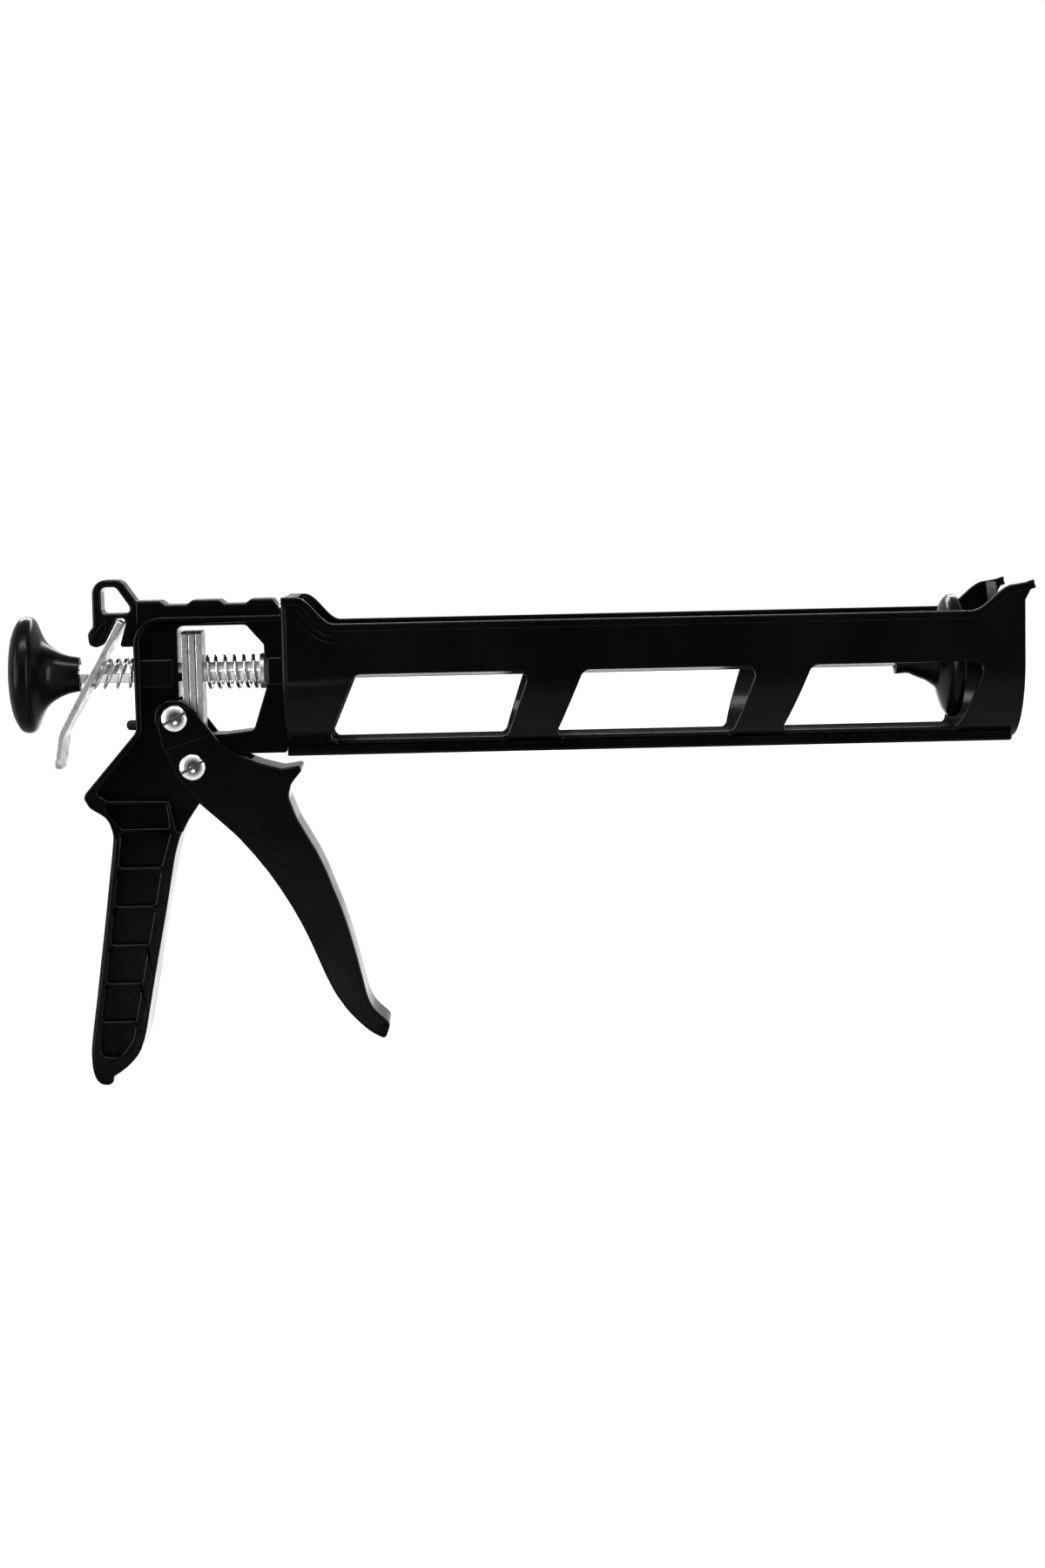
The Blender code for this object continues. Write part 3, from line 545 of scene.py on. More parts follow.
def make_trough():
    """Side walls and floor as one bent sheet, cut flat with its windows and then rolled up."""
    top = rim_line() + [(LIP_X, EAR_Z + 0.2), (FRONT_X, 18.5)]
    half = [(x, unrolled(z)) for x, z in top]
    outer = turned(half + [(x, -s) for x, s in reversed(half)], True)
    windows = []
    for index in range(WINDOWS):
        shape = [(x, unrolled(z)) for x, z in subdivided(window(index))]
        windows.append(turned(shape, True))
        windows.append(turned([(x, -s) for x, s in shape], True))
    points, faces, edges = [], [], []
    for loop in [outer] + windows:
        faces.append(list(range(len(points), len(points) + len(loop))))
        points += loop
    # lines along the trough, close enough together to roll up smoothly
    rows = 46
    reach = TROUGH_RADIUS * math.pi / 2
    for k in range(rows + 1):
        s = -reach + 2 * reach * k / rows
        edges.append((len(points), len(points) + 1))
        points += [(CRADLE_REAR - 5, s), (LIP_X + 5, s)]
    result = delaunay_2d_cdt([Vector(p) for p in points], edges, faces, 4, 1e-5)
    flat_points, flat_faces, owners = result[0], result[2], result[5]
    bm = bmesh.new()
    verts = [bm.verts.new(rolled(p.x, p.y)) for p in flat_points]
    for face, owner in zip(flat_faces, owners):
        if 0 in owner and len(owner) == 1:
            bm.faces.new([verts[i] for i in face])
    bmesh.ops.delete(bm, geom=[v for v in bm.verts if not v.link_faces], context="VERTS")
    bmesh.ops.remove_doubles(bm, verts=bm.verts, dist=0.12)
    bmesh.ops.recalc_face_normals(bm, faces=bm.faces)
    lowest = min(bm.faces, key=lambda f: f.calc_center_median().z)
    if lowest.normal.z > 0:
        bmesh.ops.reverse_faces(bm, faces=bm.faces)
    trough = raw_piece("trough", bm)
    wall = trough.modifiers.new("wall", "SOLIDIFY")
    wall.thickness = WALL
    wall.offset = -1.0
    wall.use_even_offset = True
    rim = trough.modifiers.new("rim", "BEVEL")
    rim.width = 0.45
    rim.segments = 3
    rim.limit_method = "ANGLE"
    rim.angle_limit = math.radians(50)
    rim.use_clamp_overlap = False
    apply_modifiers(trough)
    return trough


def shifted_down(line, drop):
    """The line moved square to itself towards its right-hand side."""
    moved = []
    for i, point in enumerate(line):
        before = Vector(line[max(i - 1, 0)])
        after = Vector(line[min(i + 1, len(line) - 1)])
        ahead = (after - before).normalized()
        moved.append((point[0] + ahead.y * drop, point[1] - ahead.x * drop))
    return moved


def add_rim_band(bm):
    """Raised band along the top edges, two ridges under the rear ears, and a bead round the rear."""
    outside = TROUGH_RADIUS + RIM_PROUD
    line = rim_line()
    band = line + shifted_down(line, RIM_BAND)[::-1]
    ear = [p for p in line if p[0] < -36.5]
    for side in (-1, 1):
        near, far = sorted((side * (TROUGH_RADIUS - WALL + 0.15), side * outside))
        add_plate(bm, band, (), near, far, (0.6, 0.6))
        for drop in RIDGE_DROPS:
            ridge = shifted_down(ear, drop) + shifted_down(ear, drop + RIDGE_WIDTH)[::-1]
            ridge = [p for p in ridge if p[0] > -53.6]
            near, far = sorted((side * (TROUGH_RADIUS - 1.0), side * (outside - 0.05)))
            add_plate(bm, ridge, (), near, far, (0.25, 0.25))
    radius = TROUGH_RADIUS - 0.5
    curve = [(-radius, 22.0 - 2 * k) for k in range(11)]
    curve += lower_half(radius, 40) + [(radius, 2.0 + 2 * k) for k in range(11)]
    add_tube(bm, [Vector((REAR_BEAD_X, y, z)) for y, z in curve], REAR_BEAD)


def add_end_plates(bm):
    """Rear plate with holes for the rod and the screws, and front plate with the nozzle's slot."""
    arc = lower_half(PLATE_HALF, 48)
    rear = [(-PLATE_HALF, EAR_Z - 0.1)] + arc + [(PLATE_HALF, EAR_Z - 0.1)]
    holes = [circle((0, 0), ROD_BORE)] + [circle(place, 1.9, 16) for place in SCREW_PLACES]
    add_plate(bm, rear, holes, CRADLE_REAR + 0.05, REAR_PLATE_FRONT, (0.5, 0.5), "X")
    front = [(-PLATE_HALF, 21.6)] + arc + [(PLATE_HALF, 21.6), (22.5, 23.4), (NOZZLE_SLOT, 9.0)]
    front += lower_half(NOZZLE_SLOT, 24)[::-1] + [(-NOZZLE_SLOT, 9.0), (-22.5, 23.4)]
    add_plate(bm, front, (), NOZZLE_PLATE_REAR, FRONT_X - 0.05, (0.5, 0.6), "X")


def add_bottom_rail(bm):
    """Flat rail along the bottom, its top hidden inside the trough's wall."""
    middle = TROUGH_RADIUS - WALL / 2
    rail = [(y, -math.sqrt(middle ** 2 - y ** 2)) for y in (10.4 - 20.8 * k / 12 for k in range(13))]
    rail += [(-RAIL_HALF, RAIL_SHOULDER)]
    rail += fillet([(-RAIL_HALF, RAIL_SHOULDER - 1.0), (-RAIL_HALF, RAIL_LOW, 1.0),
                    (RAIL_HALF, RAIL_LOW, 1.0), (RAIL_HALF, RAIL_SHOULDER - 1.0)])
    rail += [(RAIL_HALF, RAIL_SHOULDER)]
    add_plate(bm, rail, (), CRADLE_REAR + 0.1, RAIL_FRONT, (0.5, 0.9), "X")


def add_rail_teeth(bm):
    """Thin bead along the rail's shoulder, broken into fine teeth under the windows."""
    spans = []
    for index in range(WINDOWS):
        start, stop = -40.0 + WINDOW_PITCH * index, 17.0 + WINDOW_PITCH * index
        step = (stop - start) / TEETH
        spans += [(start + step * k, start + step * (k + 0.55)) for k in range(TEETH)]
        spans.append((stop + 0.8, stop + 15.0))
    top, bottom = RAIL_SHOULDER, RAIL_SHOULDER - 0.7
    for low, high in spans:
        for side in (-1, 1):
            near, far = sorted((side * 12.0, side * 13.3))
            bead = fillet([(low, bottom, 0.25), (high, bottom, 0.25),
                           (high, top, 0.25), (low, top, 0.25)])
            add_plate(bm, bead, (), near, far, (0.2, 0.2), rings=2)


def make_cradle():
    trough = make_trough()
    bm = bmesh.new()
    bm.from_mesh(trough.data)
    bpy.data.objects.remove(trough, do_unlink=True)
    add_rim_band(bm)
    add_end_plates(bm)
    add_bottom_rail(bm)
    add_rail_teeth(bm)
    finish_piece(raw_piece("cradle_shell", bm), "cradle", "gun_frame", PLASTIC)


# ---------------------------------------------------------------- frame

HANDLE_REAR = [(-103.6, -18.6), (-120.7, -38.3), (-121.3, -39.9), (-119.5, -43.1), (-113.7, -46.7),
               (-112.0, -52.0), (-112.7, -58.2), (-114.2, -69.5), (-115.7, -80.9), (-117.3, -92.3),
               (-118.9, -103.8), (-120.5, -114.5), (-121.4, -121.0), (-121.6, -126.0),
               (-121.1, -129.8), (-120.2, -132.4), (-118.4, -134.1)]
HANDLE_FRONT = [(-115.9, -134.2), (-114.5, -133.2), (-114.5, -131.3), (-112.0, -130.0),
                (-108.4, -127.1), (-106.0, -124.2), (-104.5, -121.0), (-103.2, -116.0),
                (-102.1, -110.0), (-99.9, -98.5), (-97.6, -87.1), (-95.3, -75.7), (-93.2, -64.3),
                (-92.1, -58.6), (-90.4, -53.0), (-87.9, -48.1), (-84.2, -42.7)]
FLANGE, WEB, POCKET_FLOOR, LOOP = 12.0, 7.5, 8.8, 5.5  # half widths
SHOULDER_Z, TOP_Z, NOTCH_Z = 18.4, 23.6, 22.2
FIRST_RIB, RIB_PITCH, RIB, REAR_WALL, FRONT_WALL = -50.6, 12.6, 1.2, 2.7, 4.0
PIVOT, DRIVE_PIN = (-85.8, -30.5), (-91.2, -14.6)
PIVOT_BORE, PIN_BORE = 3.3, 2.5


def top_rail():
    """The narrow rail along the top, with its two notches, down into the body."""
    rail = [(FRAME_FRONT, 15.6), (FRAME_FRONT, 18.2, 0.8), (-58.6, TOP_Z, 1.2)]
    for front, back in ((-65.5, -76.0), (-84.5, -95.2)):
        rail += [(front, TOP_Z, 0.8), (front - 1.9, NOTCH_Z, 0.8), (back + 1.9, NOTCH_Z, 0.8),
                 (back, TOP_Z, 0.8)]
    return fillet(rail + [(-103.0, TOP_Z, 0.8), (-103.0, 15.6)])


def handle_pockets():
    """Pockets between the handle's ribs, as a ladder down its side."""
    def rear(z):
        return height_on(HANDLE_REAR, z) + REAR_WALL

    def front(z):
        return height_on(HANDLE_FRONT, z) - FRONT_WALL

    ribs = [FIRST_RIB - RIB_PITCH * k for k in range(6)]
    pockets = [[(-115.7, -41.9, 1.2), (-109.4, -50.0, 1.2), (-93.9, -50.0, 1.0), (-94.7, -42.4, 0.8)]]
    for above, below in zip(ribs, ribs[1:]):
        top, bottom = above - RIB / 2, below + RIB / 2
        pockets.append([(rear(top), top, 1.2), (rear(bottom), bottom, 1.2),
                        (front(bottom), bottom, 1.2), (front(top), top, 1.2)])
    last = ribs[-1] - RIB / 2
    pockets.append([(rear(last), last, 1.2), (-118.2, -124.5, 2.0), (-112.2, -125.2, 4.0),
                    (-107.8, -119.2, 3.0), (front(last), last, 1.2)])
    return [fillet(pocket) for pocket in pockets]


def add_handle(bm):
    """The full-width band from the cradle round the shoulder and down the column, and the handle."""
    rear = [(*p, radius) for p, radius in zip(HANDLE_REAR, (4.0, 2.0, 1.6, 3.0, 6.0, 8.0))]
    rear += [(*p, 20.0) for p in HANDLE_REAR[6:]]
    front = [(*p, radius) for p, radius in zip(HANDLE_FRONT, (1.8, 1.4, 1.2))]
    front += [(*p, 20.0) for p in HANDLE_FRONT[3:-2]]
    inner = [(-89.5, -51.5, 0.8), (-91.4, -51.2, 1.0), (-92.7, -45.7, 1.0), (-93.3, -41.3, 1.0),
             (-113.6, -40.7, 1.0), (-117.5, -38.3, 1.5), (-101.6, -19.2, 3.0), (-101.6, 16.2, 6.5),
             (FRAME_FRONT, 16.2, 0.8)]
    rim = fillet([(FRAME_FRONT, SHOULDER_Z, 0.8), (-103.8, SHOULDER_Z, 9.0)] + rear + front + inner)
    add_plate(bm, rim, handle_pockets(), -FLANGE, FLANGE, (0.7, 0.7), rings=5)

    # floor of the pockets
    floor = [(x + 1.5, z) for x, z in HANDLE_REAR[3:]]
    floor += [(x - 1.5, z) for x, z in HANDLE_FRONT[3:-2]]
    floor = [p for p in floor if p[1] > -130.0]
    add_plate(bm, floor, (), -POCKET_FLOOR, POCKET_FLOOR, (0.4, 0.4))

    # rounded bead down both rear edges
    spine = smooth_profile(inset(HANDLE_REAR[4:-1], 1.5)[1:-1], 3, lowest=None)
    for side in (-1, 1):
        add_tube(bm, [Vector((x, side * 10.75, z)) for x, z in spine], 1.45, 16)


def add_web(bm):
    """The thinner plate inside the band, with the window for the plates and spring."""
    rear = [(-98.0, 17.4), (-102.7, 12.0), (-102.7, -19.0), (-104.3, -20.8), (-119.0, -38.2),
            (-118.0, -42.0), (-114.0, -45.0), (-97.0, -60.0), (-93.7, -60.0, 1.0)]
    under = [(*p, radius) for p, radius in zip(HANDLE_FRONT[-3:], (3.0, 8.0, 3.0))]
    web = fillet([(FRAME_FRONT, -26.7, 0.9), (FRAME_FRONT, 17.4)] + rear + under
                 + [(-78.4, -36.4, 4.0), (-75.9, -29.0, 3.0), (-71.2, -26.7, 3.0)])
    opening = fillet([(-89.8, 15.2, 2.0), (-67.5, 15.2, 2.0), (-61.9, 8.7, 1.2), (-61.4, -5.5, 1.2),
                      (-65.8, -19.1, 1.5), (-75.0, -20.1, 1.0), (-94.2, -20.1, 2.0), (-94.2, -10.6, 2.0),
                      (-89.8, -8.6, 1.0)])
    add_plate(bm, web, [opening, circle(PIVOT, PIVOT_BORE)], -WEB, WEB, (0.5, 0.5))


def add_top(bm):
    """Top rail, hang loop and the hook that holds the release lever."""
    add_plate(bm, top_rail(), (), -WEB + 0.02, WEB - 0.02, (0.8, 0.8))
    loop = fillet([(-101.5, 23.4), (-103.0, TOP_Z, 2.0), (-107.8, 30.6, 3.6), (-117.2, 30.6, 5.0),
                   (-117.3, 15.4, 1.5), (-119.0, 13.3, 2.0), (-118.7, 9.4, 2.6), (-116.2, 8.6, 2.0),
                   (-113.5, 9.9, 0.9), (-110.1, 16.7), (-109.7, 18.0, 0.9), (-107.1, 18.0, 0.9),
                   (-106.6, 16.0, 0.8), (-108.8, 8.7, 0.9), (-101.5, 8.7)])
    hole = fillet([(-114.4, 28.2, 1.8), (-109.5, 28.2, 2.0), (-105.0, 21.6, 1.8), (-105.4, 19.7, 1.2),
                   (-114.3, 19.7, 1.3)])
    add_plate(bm, loop, [hole], -LOOP, LOOP, (0.9, 0.9))
    pad = fillet([(-117.9, 12.6, 1.6), (-117.7, 9.9, 1.6), (-115.2, 9.8, 1.6), (-113.1, 13.6, 1.2),
                  (-112.4, 17.2, 0.5), (-113.4, 17.4, 0.5)])
    add_plate(bm, pad, (), -LOOP - 0.5, LOOP + 0.5, (0.5, 0.5))


def add_guide_blocks(bm):
    """Thicker blocks round the rod, behind and in front of the window."""
    for rear, front in ((-102.6, -90.9), (-61.0, FRAME_FRONT)):
        block = fillet([(rear, -4.8, 1.2), (front, -4.8, 1.2), (front, 4.8, 1.2), (rear, 4.8, 1.2)])
        add_plate(bm, block, (), -10.0, 10.0, (1.0, 1.0), rings=5)


def make_frame():
    bm = bmesh.new()
    add_handle(bm)
    add_web(bm)
    add_top(bm)
    add_guide_blocks(bm)
    finish_piece(raw_piece("frame_shell", bm), "frame", "gun_frame", PLASTIC)


# ---------------------------------------------------------------- trigger

TRIGGER_HALF, CHANNEL_HALF, HUB_PROUD = 11.0, 8.0, 0.25


def make_trigger():
    """Solid lever, hollowed from behind between its two cheeks, with a raised hub on each cheek."""
    front = [(-97.7, -11.9, 4.5), (-94.4, -8.6, 4.0), (-88.8, -8.6, 4.5), (-85.3, -11.3, 4.0),
             (-78.1, -21.1, 8.0), (-71.8, -26.4, 8.0), (-64.3, -29.6, 8.0), (-57.1, -31.6, 4.0),
             (-51.0, -30.7, 1.4), (-50.4, -32.4, 1.2), (-54.0, -36.7, 3.0), (-55.0, -40.7, 5.0),
             (-52.3, -48.1, 10.0), (-48.9, -54.1, 20.0), (-45.7, -59.8, 20.0), (-43.1, -65.6, 20.0),
             (-41.0, -71.4, 20.0), (-38.8, -77.1, 20.0), (-36.9, -82.9, 20.0), (-35.3, -88.7, 20.0),
             (-33.8, -94.5, 20.0), (-32.4, -100.3, 20.0), (-31.1, -106.1, 20.0), (-29.9, -109.4, 12.0),
             (-28.2, -112.0, 12.0), (-24.9, -114.9, 3.0), (-23.7, -116.3, 1.6), (-24.2, -118.2, 3.0),
             (-25.4, -121.3, 1.2)]
    rear = [(*p, 20.0) for p in (
        (-29.9, -119.1), (-34.0, -115.4), (-37.6, -111.5), (-41.5, -105.8), (-44.3, -100.0),
        (-46.7, -94.2), (-49.1, -88.4), (-51.8, -82.6), (-54.9, -76.8), (-58.4, -71.0),
        (-62.3, -65.2), (-66.9, -59.3), (-71.9, -53.5), (-77.8, -48.0))]
    rear += [(-83.9, -42.5, 12.0), (-90.9, -34.3, 10.0), (-94.6, -25.8, 10.0), (-97.8, -15.5, 4.0)]
    bm = bmesh.new()
    outline = fillet(front + rear, math.radians(8))
    add_plate(bm, outline, (), -TRIGGER_HALF, TRIGGER_HALF, (0.8, 0.8))
    trigger = raw_piece("trigger_shell", bm)
    channel = [(-105.0, 0.7), (-66.0, -0.4), (-66.8, -31.8), (-58.1, -35.2), (-58.1, -40.6),
               (-55.2, -49.5), (-48.9, -60.2), (-44.9, -70.5), (-39.3, -83.5), (-36.1, -96.4),
               (-34.0, -107.8), (-34.5, -111.2), (-48.1, -118.9), (-72.1, -80.2), (-106.2, -44.3)]
    cut(trigger, lambda bm: add_plate(bm, channel, (), -CHANNEL_HALF, CHANNEL_HALF, (0, 0)))

    def holes(bm):
        for (x, z), radius in ((PIVOT, PIVOT_BORE), (DRIVE_PIN, PIN_BORE)):
            add_lathe(bm, [(-20, 0), (-20, radius), (20, radius), (20, 0)], 40, (x, 0, z), "Y")

    cut(trigger, holes)
    hub = fillet([(-96.7, -15.4, 3.4), (-93.8, -10.1, 3.4), (-88.9, -10.0, 3.6), (-86.0, -12.3, 3.0),
                  (-79.6, -20.4, 1.0), (-95.2, -25.3, 0.8)])
    bm = bmesh.new()
    bm.from_mesh(trigger.data)
    for side in (-1, 1):
        near, far = sorted((side * (TRIGGER_HALF - 0.8), side * (TRIGGER_HALF + HUB_PROUD)))
        add_plate(bm, hub, [circle(DRIVE_PIN, PIN_BORE)], near, far, (0.3, 0.3), rings=3)
    bm.to_mesh(trigger.data)
    bm.free()
    finish_piece(trigger, "trigger", "squeeze_trigger", PLASTIC)


# ---------------------------------------------------------------- screws

HEAD_SEAT, HEAD_RADIUS, HEAD_HEIGHT = 11.3, 4.3, 1.7
SLOT_TILT, SLOT_WIDTH, SLOT_FLOOR = math.radians(28), 0.9, 0.75


def head_profile(side):
    """Low domed head with a rounded rim, from its top to its underside, along Y on one side."""
    dome = [(0.35 + 0.65 * math.cos(math.asin(t) * 0.9) ** 1.6, t) for t in (k / 9 for k in range(9))]
    rim = [(0.42, 0.955), (0.34, 0.985), (0.22, 1.0), (0.08, 1.0), (0.0, 0.97)]
    return [(side * (HEAD_SEAT + up * HEAD_HEIGHT), out * HEAD_RADIUS) for up, out in dome + rim]


def make_barrel_bolt(names, node_names, centre, barrel, body):
    """Slotted screw from the near side, in a barrel nut of a given radius from the far side."""
    shank = barrel - 1.2
    place = (centre[0], 0, centre[1])
    bm = bmesh.new()
    add_lathe(bm, head_profile(-1) + [(-HEAD_SEAT, shank), (3.6, shank), (4.0, shank - 0.4), (4.0, 0)],
              64, place, "Y")
    screw = raw_piece(names[0], bm)

    def slot(bm):
        along = Vector((math.cos(SLOT_TILT), math.sin(SLOT_TILT))) * 6.0
        wide = Vector((-math.sin(SLOT_TILT), math.cos(SLOT_TILT))) * SLOT_WIDTH / 2
        middle = Vector(centre)
        corners = [middle - along - wide, middle + along - wide,
                   middle + along + wide, middle - along + wide]
        add_plate(bm, [tuple(p) for p in corners], (), -20.0, -HEAD_SEAT - SLOT_FLOOR, (0, 0))

    cut(screw, slot)
    finish_piece(screw, node_names[0], body, CHROME, bevel=0.08)
    bm = bmesh.new()
    add_lathe(bm, head_profile(1) + [(HEAD_SEAT, barrel), (-10.4, barrel), (-10.6, barrel - 0.2),
              (-10.6, shank + 0.3), (6.0, shank + 0.3), (6.0, 0)], 64, place, "Y")
    finish_piece(raw_piece(names[1], bm), node_names[1], body, CHROME)


def make_cradle_screws():
    """Four cross-head screws through the cradle's rear plate into the frame."""
    seat, tip = -50.5, -62.5
    for number, (y, z) in enumerate(SCREW_PLACES, 1):
        thread = []
        for k in range(9):
            at = tip + 2.0 + k * 1.1
            thread += [(at, 1.3), (at + 0.35, 1.6), (at + 0.7, 1.3)]
        bm = bmesh.new()
        add_lathe(bm, [(tip, 0), (tip, 0.4)] + thread + [(seat, 1.5), (seat, 2.7), (seat + 0.2, 2.8),
                  (seat + 0.9, 2.75), (seat + 1.5, 2.3), (seat + 1.9, 1.4), (seat + 2.0, 0)],
                  36, (0, y, z))
        name = f"cradle_screw_{number}"
        screw = raw_piece(name + "_body", bm)
        for wide, tall in ((1.9, 0.35), (0.35, 1.9)):
            arm = [(y - wide, z - tall), (y + wide, z - tall), (y + wide, z + tall), (y - wide, z + tall)]
            cut(screw, lambda bm: add_plate(bm, arm, (), seat + 0.8, seat + 4, (0, 0), "X"))
        finish_piece(screw, name, "gun_frame", ZINC)


# ---------------------------------------------------------------- rod, plunger, knob

ROD_FLATS, ROD_REAR, ROD_SHOULDER = 6.1, -136.1, 160.2
THREAD_PITCH = 0.55


def add_washer(bm, rear, front, bore, radius):
    """Flat ring round the rod with its outer corners broken."""
    add_lathe(bm, [(rear, bore), (rear, radius - 0.1), (rear + 0.1, radius), (front - 0.1, radius),
                   (front, radius - 0.1), (front, bore)], 48, ring=True)


def make_rod():
    """Hexagonal rod with a threaded end."""
    bm = bmesh.new()
    add_plate(bm, hexagon(ROD_FLATS, 0.35), (), ROD_REAR, ROD_SHOULDER, (0.4, 0.4), "X")
    thread = []
    for k in range(7):
        at = 160.4 + THREAD_PITCH * k
        thread += [(at, 2.15), (at + 0.28, 2.4)]
    add_lathe(bm, [(158.0, 0), (158.0, 2.15)] + thread + [(164.4, 1.9), (164.4, 0)], 32)
    finish_piece(raw_piece("push_rod", bm), "plunger_rod", "push_rod", ROD_STEEL, sharp=25)


def make_plunger():
    """Bell-shaped disc, with a washer and a nut in the recess in its front."""
    skirt = smooth_profile([(144.6, 5.4), (145.0, 5.8), (148.6, 5.6), (150.6, 6.4), (152.7, 7.3),
                            (154.4, 8.0), (156.1, 9.1), (157.9, 10.6), (158.7, 12.8), (159.6, 15.8),
                            (160.6, 18.2), (161.6, 19.4), (162.5, 20.0), (164.2, 20.0), (165.0, 19.1)])
    recess = [(165.0, 9.3), (164.7, 9.0), (160.7, 8.9), (160.4, 8.7), (160.4, ROD_BORE)]
    profile = [(144.6, ROD_BORE)] + skirt + recess
    bm = bmesh.new()
    add_lathe(bm, profile, 96, ring=True)
    finish_piece(raw_piece("plunger_shell", bm), "plunger_disc", "push_rod", PLASTIC)
    bm = bmesh.new()
    add_washer(bm, 160.7, 161.6, 2.7, 6.5)
    finish_piece(raw_piece("washer_face", bm), "plunger_washer", "push_rod", ZINC)
    bm = bmesh.new()
    add_plate(bm, hexagon(8.0, 0.5), [circle((0, 0), 2.7)], 161.9, 164.7, (0.4, 0.4), "X")
    finish_piece(raw_piece("lock_nut", bm), "plunger_nut", "push_rod", ZINC)


def make_knob():
    """Mushroom-shaped knob with a blind hole for the rod's rear end."""
    outside = smooth_profile([(-145.1, 0), (-144.9, 6.0), (-144.4, 11.0), (-143.4, 15.0),
                              (-141.7, 18.0), (-140.1, 18.9), (-138.1, 18.9), (-136.7, 17.8),
                              (-135.5, 15.0), (-134.1, 12.0), (-132.1, 9.6), (-129.5, 7.8),
                              (-126.5, 6.5), (-123.9, 5.9), (-122.7, 5.7), (-122.4, 5.3)])
    bm = bmesh.new()
    add_lathe(bm, outside + [(-122.4, ROD_BORE), (-136.5, ROD_BORE), (-136.5, 0)], 96)
    finish_piece(raw_piece("knob_shell", bm), "pull_knob", "push_rod", PLASTIC)


# ---------------------------------------------------------------- plates, springs, lever, peg

PLATE_REAR, PLATE_THICK, PLATE_PITCH = -88.6, 2.0, 2.3


def make_drive_plates():
    """Stack of three plates with a hole for the rod."""
    outline = fillet([(-7.4, -19.0, 1.6), (7.4, -19.0, 1.6), (7.4, 13.4, 1.6), (-7.4, 13.4, 1.6)])
    for number, place in enumerate(("rear", "middle", "front")):
        low = PLATE_REAR + PLATE_PITCH * number
        bm = bmesh.new()
        add_plate(bm, outline, [circle((0, 0), ROD_BORE)], low, low + PLATE_THICK, (0.25, 0.25), "X", 3)
        name = f"drive_plate_{place}"
        finish_piece(raw_piece(name + "_face", bm), name, "drive_plates", ZINC)


def coil_path(ends, radius, turns, lean=0.0, parts=36, closed=0.6, share=0.06):
    """Coil along X. lean tilts its far end, in X per Z.

    closed is how much of a turn is closed at each end, and share is its part of the length.
    """
    count = int(turns * parts)
    path = []
    for k in range(count + 1):
        turn = turns * k / count
        eased = min(max((turn - closed) / (turns - 2 * closed), 0.0), 1.0)
        first = min(turn, closed) / closed
        last = max(turn - (turns - closed), 0) / closed
        spot = share * first + (1 - 2 * share) * eased + share * last
        angle = 2 * math.pi * turn
        y, z = radius * math.cos(angle), radius * math.sin(angle)
        path.append(Vector((ends[0] + (ends[1] - ends[0]) * spot + lean * z * spot, y, z)))
    return path


LEVER_PIVOT, LEVER_BEND = Vector((-108.5, 16.1)), Vector((-128.3, -19.6))
LEVER_END = Vector((-129.8, -30.5))
LEVER_LEAN = math.atan2(LEVER_PIVOT.x - LEVER_BEND.x, LEVER_PIVOT.y - LEVER_BEND.y)
LEVER_HALF = 9.0


def make_springs():
    """Main spring with its washer, and the release spring, whose rear end leans with the lever."""
    bm = bmesh.new()
    add_tube(bm, coil_path((-81.1, -64.4), 5.4, 6.0), 0.6)
    spring = finish_piece(raw_piece("main_coil", bm), "main_spring", "gun_frame",
                          WIRE_STEEL)
    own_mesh(spring)
    bm = bmesh.new()
    add_washer(bm, -63.5, -62.0, ROD_BORE, 6.0)
    finish_piece(raw_piece("spring_washer", bm), "main_spring_washer", "gun_frame", ZINC)
    bm = bmesh.new()
    add_tube(bm, coil_path((-104.9, -115.5), 4.7, 4.0, math.tan(LEVER_LEAN)), 0.5)
    spring = finish_piece(raw_piece("release_coil", bm), "release_spring", "gun_frame",
                          WIRE_STEEL)
    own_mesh(spring)


def make_release_lever():
    """Bent plate with a rounded thumb end and a slot for the rod."""
    down = Vector((-math.sin(LEVER_LEAN), -math.cos(LEVER_LEAN)))
    tail = (LEVER_END - LEVER_BEND).normalized()
    front, tail_front = Vector((-down.y, down.x)), Vector((-tail.y, tail.x))
    knee = (front + tail_front).normalized()
    top = LEVER_PIVOT - down
    outline = [top + front, (*(LEVER_BEND + knee), 6.0), LEVER_END + tail_front, LEVER_END - tail_front,
               (*(LEVER_BEND - knee), 8.0), top - front]
    bm = bmesh.new()
    add_plate(bm, fillet([tuple(p) for p in outline]), (), -LEVER_HALF, LEVER_HALF, (0.3, 0.3), rings=3)
    lever = raw_piece("thumb_lever", bm)
    low, high, wide = LEVER_END.y - 0.4, LEVER_PIVOT.y + 3.0, LEVER_HALF + 0.5
    face = fillet([(-wide, high), (-wide, low, 6.0), (wide, low, 6.0), (wide, high)])
    cut(lever, lambda bm: add_plate(bm, face, (), -140.0, -100.0, (0, 0), "X"), "INTERSECT")

    def slot(bm):
        start, stop = (LEVER_PIVOT + down * reach for reach in (12.9, 22.9))
        corners = [start + front * 3, stop + front * 3, stop - front * 3, start - front * 3]
        add_plate(bm, [tuple(p) for p in corners], (), -4.0, 4.0, (0, 0))

    cut(lever, slot)
    finish_piece(lever, "release_lever", "release", ZINC, bevel=0.12)


def make_peg():
    """Rubber buffer on the column, behind the lever's bend."""
    bm = bmesh.new()
    add_lathe(bm, [(-107.9, 0), (-107.85, 0.6), (-107.6, 1.1), (-107.2, 1.5), (-106.7, 1.7), (-104.4, 1.7),
                   (-104.1, 1.5), (-104.1, 1.2), (-98.0, 1.2), (-98.0, 0)], 40, (0, 0, -17.1))
    finish_piece(raw_piece("buffer_peg", bm), "lever_stop_peg", "gun_frame", RUBBER)


# ---------------------------------------------------------------- stage

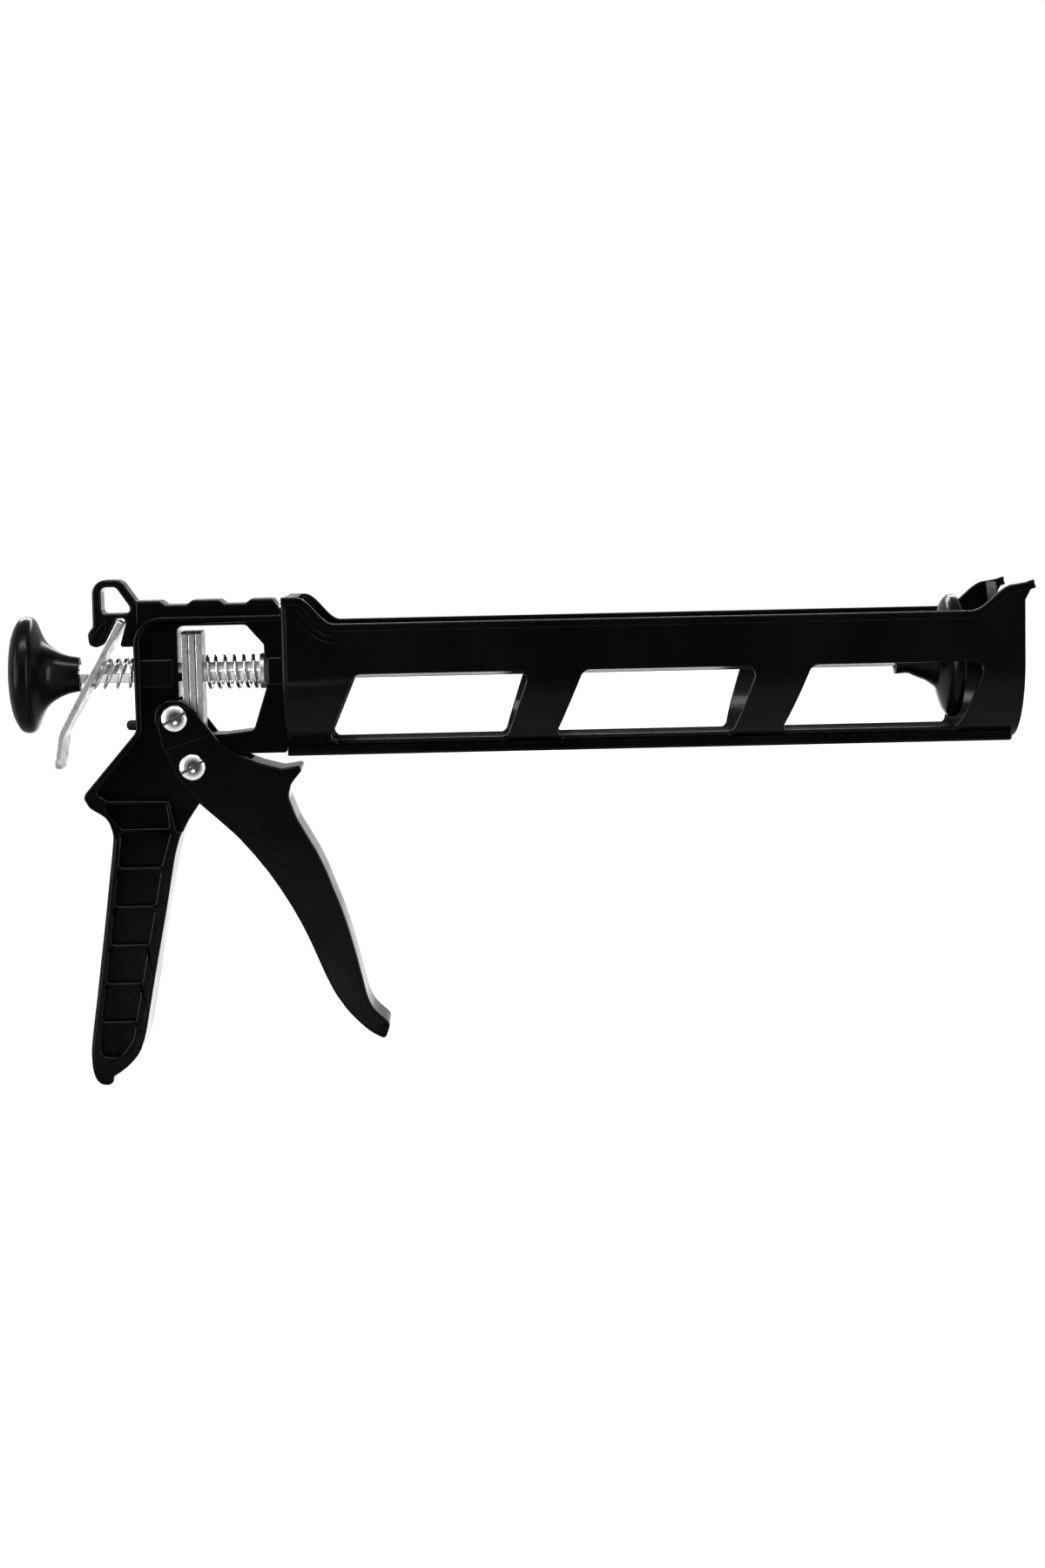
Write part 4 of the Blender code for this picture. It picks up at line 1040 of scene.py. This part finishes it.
def make_floor():
    """Pale floor well below the gun, left out of reflections."""
    half_size, drop = 12.0, 0.30
    bm = bmesh.new()
    bmesh.ops.create_grid(bm, x_segments=1, y_segments=1, size=half_size)
    floor = raw_piece("floor", bm)
    floor.location = (ORIGIN.x, 0, cad_low.z - drop)
    n = Nodes("pale_floor")
    n.feed("Base Color", n.ramp(n.noise(3, 2), [(0.3, grey(0.93)), (0.7, grey(0.96))]))
    n.feed("Roughness", 0.9)
    n.feed("Emission Color", (1, 1, 1, 1))
    n.feed("Emission Strength", 0.35)
    floor.data.materials.append(n.mat)
    floor.visible_glossy = False


def make_surround():
    """Plain white all round, except in reflections.

    What glossy faces reflect is pale at the sides, grey behind the gun and dark in front of it, with
    a bright patch low behind the gun.
    """
    world = bpy.data.worlds.new("surround")
    world.use_nodes = True
    tree = world.node_tree
    link = tree.links.new

    def add(kind):
        return tree.nodes.new("ShaderNode" + kind)

    around = add("TexCoord").outputs["Generated"]

    def towards(direction):
        """How far the ray goes in a direction, from -1 to 1."""
        node = add("VectorMath")
        node.operation = "DOT_PRODUCT"
        node.inputs[1].default_value = direction
        link(around, node.inputs[0])
        return node.outputs["Value"]

    def span(source, start, stop, low, high):
        node = add("MapRange")
        for name, value in (("From Min", start), ("From Max", stop), ("To Min", low), ("To Max", high)):
            node.inputs[name].default_value = value
        link(source, node.inputs["Value"])
        return node.outputs["Result"]

    background = tree.nodes["Background"]
    background.inputs["Color"].default_value = (1, 1, 1, 1)
    background.inputs["Strength"].default_value = 1.0
    reflected = add("Background")
    shades = add("ValToRGB")
    stops = ((0.40, 0.45), (0.52, 0.85), (0.88, 0.95), (0.978, 0.05))
    while len(shades.color_ramp.elements) < len(stops):
        shades.color_ramp.elements.new(0.5)
    for stop, (position, value) in zip(shades.color_ramp.elements, stops):
        stop.position, stop.color = position, (*grey(value), 1.0)
    link(span(towards((0.0, -1.0, -0.04)), -1.0, 1.0, 0.0, 1.0), shades.inputs["Fac"])
    link(shades.outputs["Color"], reflected.inputs["Color"])
    glare = span(towards((0.06, 0.974, -0.22)), 0.965, 0.996, 1.0, 4.5)
    link(glare, reflected.inputs["Strength"])
    mix = add("MixShader")
    link(add("LightPath").outputs["Is Glossy Ray"], mix.inputs["Fac"])
    link(background.outputs["Background"], mix.inputs[1])
    link(reflected.outputs["Background"], mix.inputs[2])
    link(mix.outputs["Shader"], tree.nodes["World Output"].inputs["Surface"])
    bpy.context.scene.world = world


def make_lights():
    """Soft boxes aimed at the gun: place from its middle, width and height in metres, and watts."""
    centre = (cad_low + cad_high) / 2
    for name, place, width, height, power in (
            ("top_box", (0.05, -0.30, 0.80), 1.0, 0.16, 12.0),
            ("left_box", (-0.95, -0.25, 0.20), 0.12, 0.8, 7.0),
            ("left_fill", (-0.90, -0.60, 0.10), 0.6, 0.6, 5.0),
            ("right_box", (0.95, -0.40, 0.15), 0.12, 0.8, 7.0),
            ("back_box", (0.0, 0.9, 0.5), 1.0, 0.2, 6.0),
            ("low_box", (-0.14, -0.86, -0.20), 0.12, 0.10, 0.16)):
        light = bpy.data.lights.new(name, "AREA")
        light.shape = "RECTANGLE"
        light.size, light.size_y, light.energy = width, height, power
        lamp = bpy.data.objects.new(name, light)
        lamp.location = centre + Vector(place)
        lamp.rotation_euler = (-Vector(place)).to_track_quat("-Z", "Y").to_euler()
        bpy.context.scene.collection.objects.link(lamp)


def make_camera():
    """Beside the gun, a little above the rod, looking slightly down across it."""
    place = (2.8, -949.4, 46.2)
    yaw, pitch, roll = math.radians(-1.124), math.radians(90 - 5.147), math.radians(-1.19)
    camera = bpy.data.cameras.new("camera")
    camera.lens = 66.5
    camera.sensor_width = 36.0
    camera.clip_start, camera.clip_end = 0.01, 50.0
    eye = bpy.data.objects.new("camera", camera)
    eye.location = ORIGIN + Vector(place) * MM
    aim = Matrix.Rotation(yaw, 4, "Z") @ Matrix.Rotation(pitch, 4, "X") @ Matrix.Rotation(roll, 4, "Z")
    eye.rotation_euler = aim.to_euler()
    bpy.context.scene.collection.objects.link(eye)
    bpy.context.scene.camera = eye
    bpy.context.scene.view_settings.view_transform = "Standard"


make_cradle()
make_frame()
make_trigger()
make_barrel_bolt(("pivot_head", "pivot_barrel"), ("pivot_screw", "pivot_barrel_nut"),
                 PIVOT, PIVOT_BORE - 0.3, "gun_frame")
make_barrel_bolt(("drive_head", "drive_barrel"), ("drive_pin_screw", "drive_pin_barrel_nut"),
                 DRIVE_PIN, PIN_BORE - 0.3, "squeeze_trigger")
make_cradle_screws()
make_rod()
make_plunger()
make_knob()
make_drive_plates()
make_springs()
make_release_lever()
make_peg()
make_floor()
make_surround()
make_lights()
make_camera()
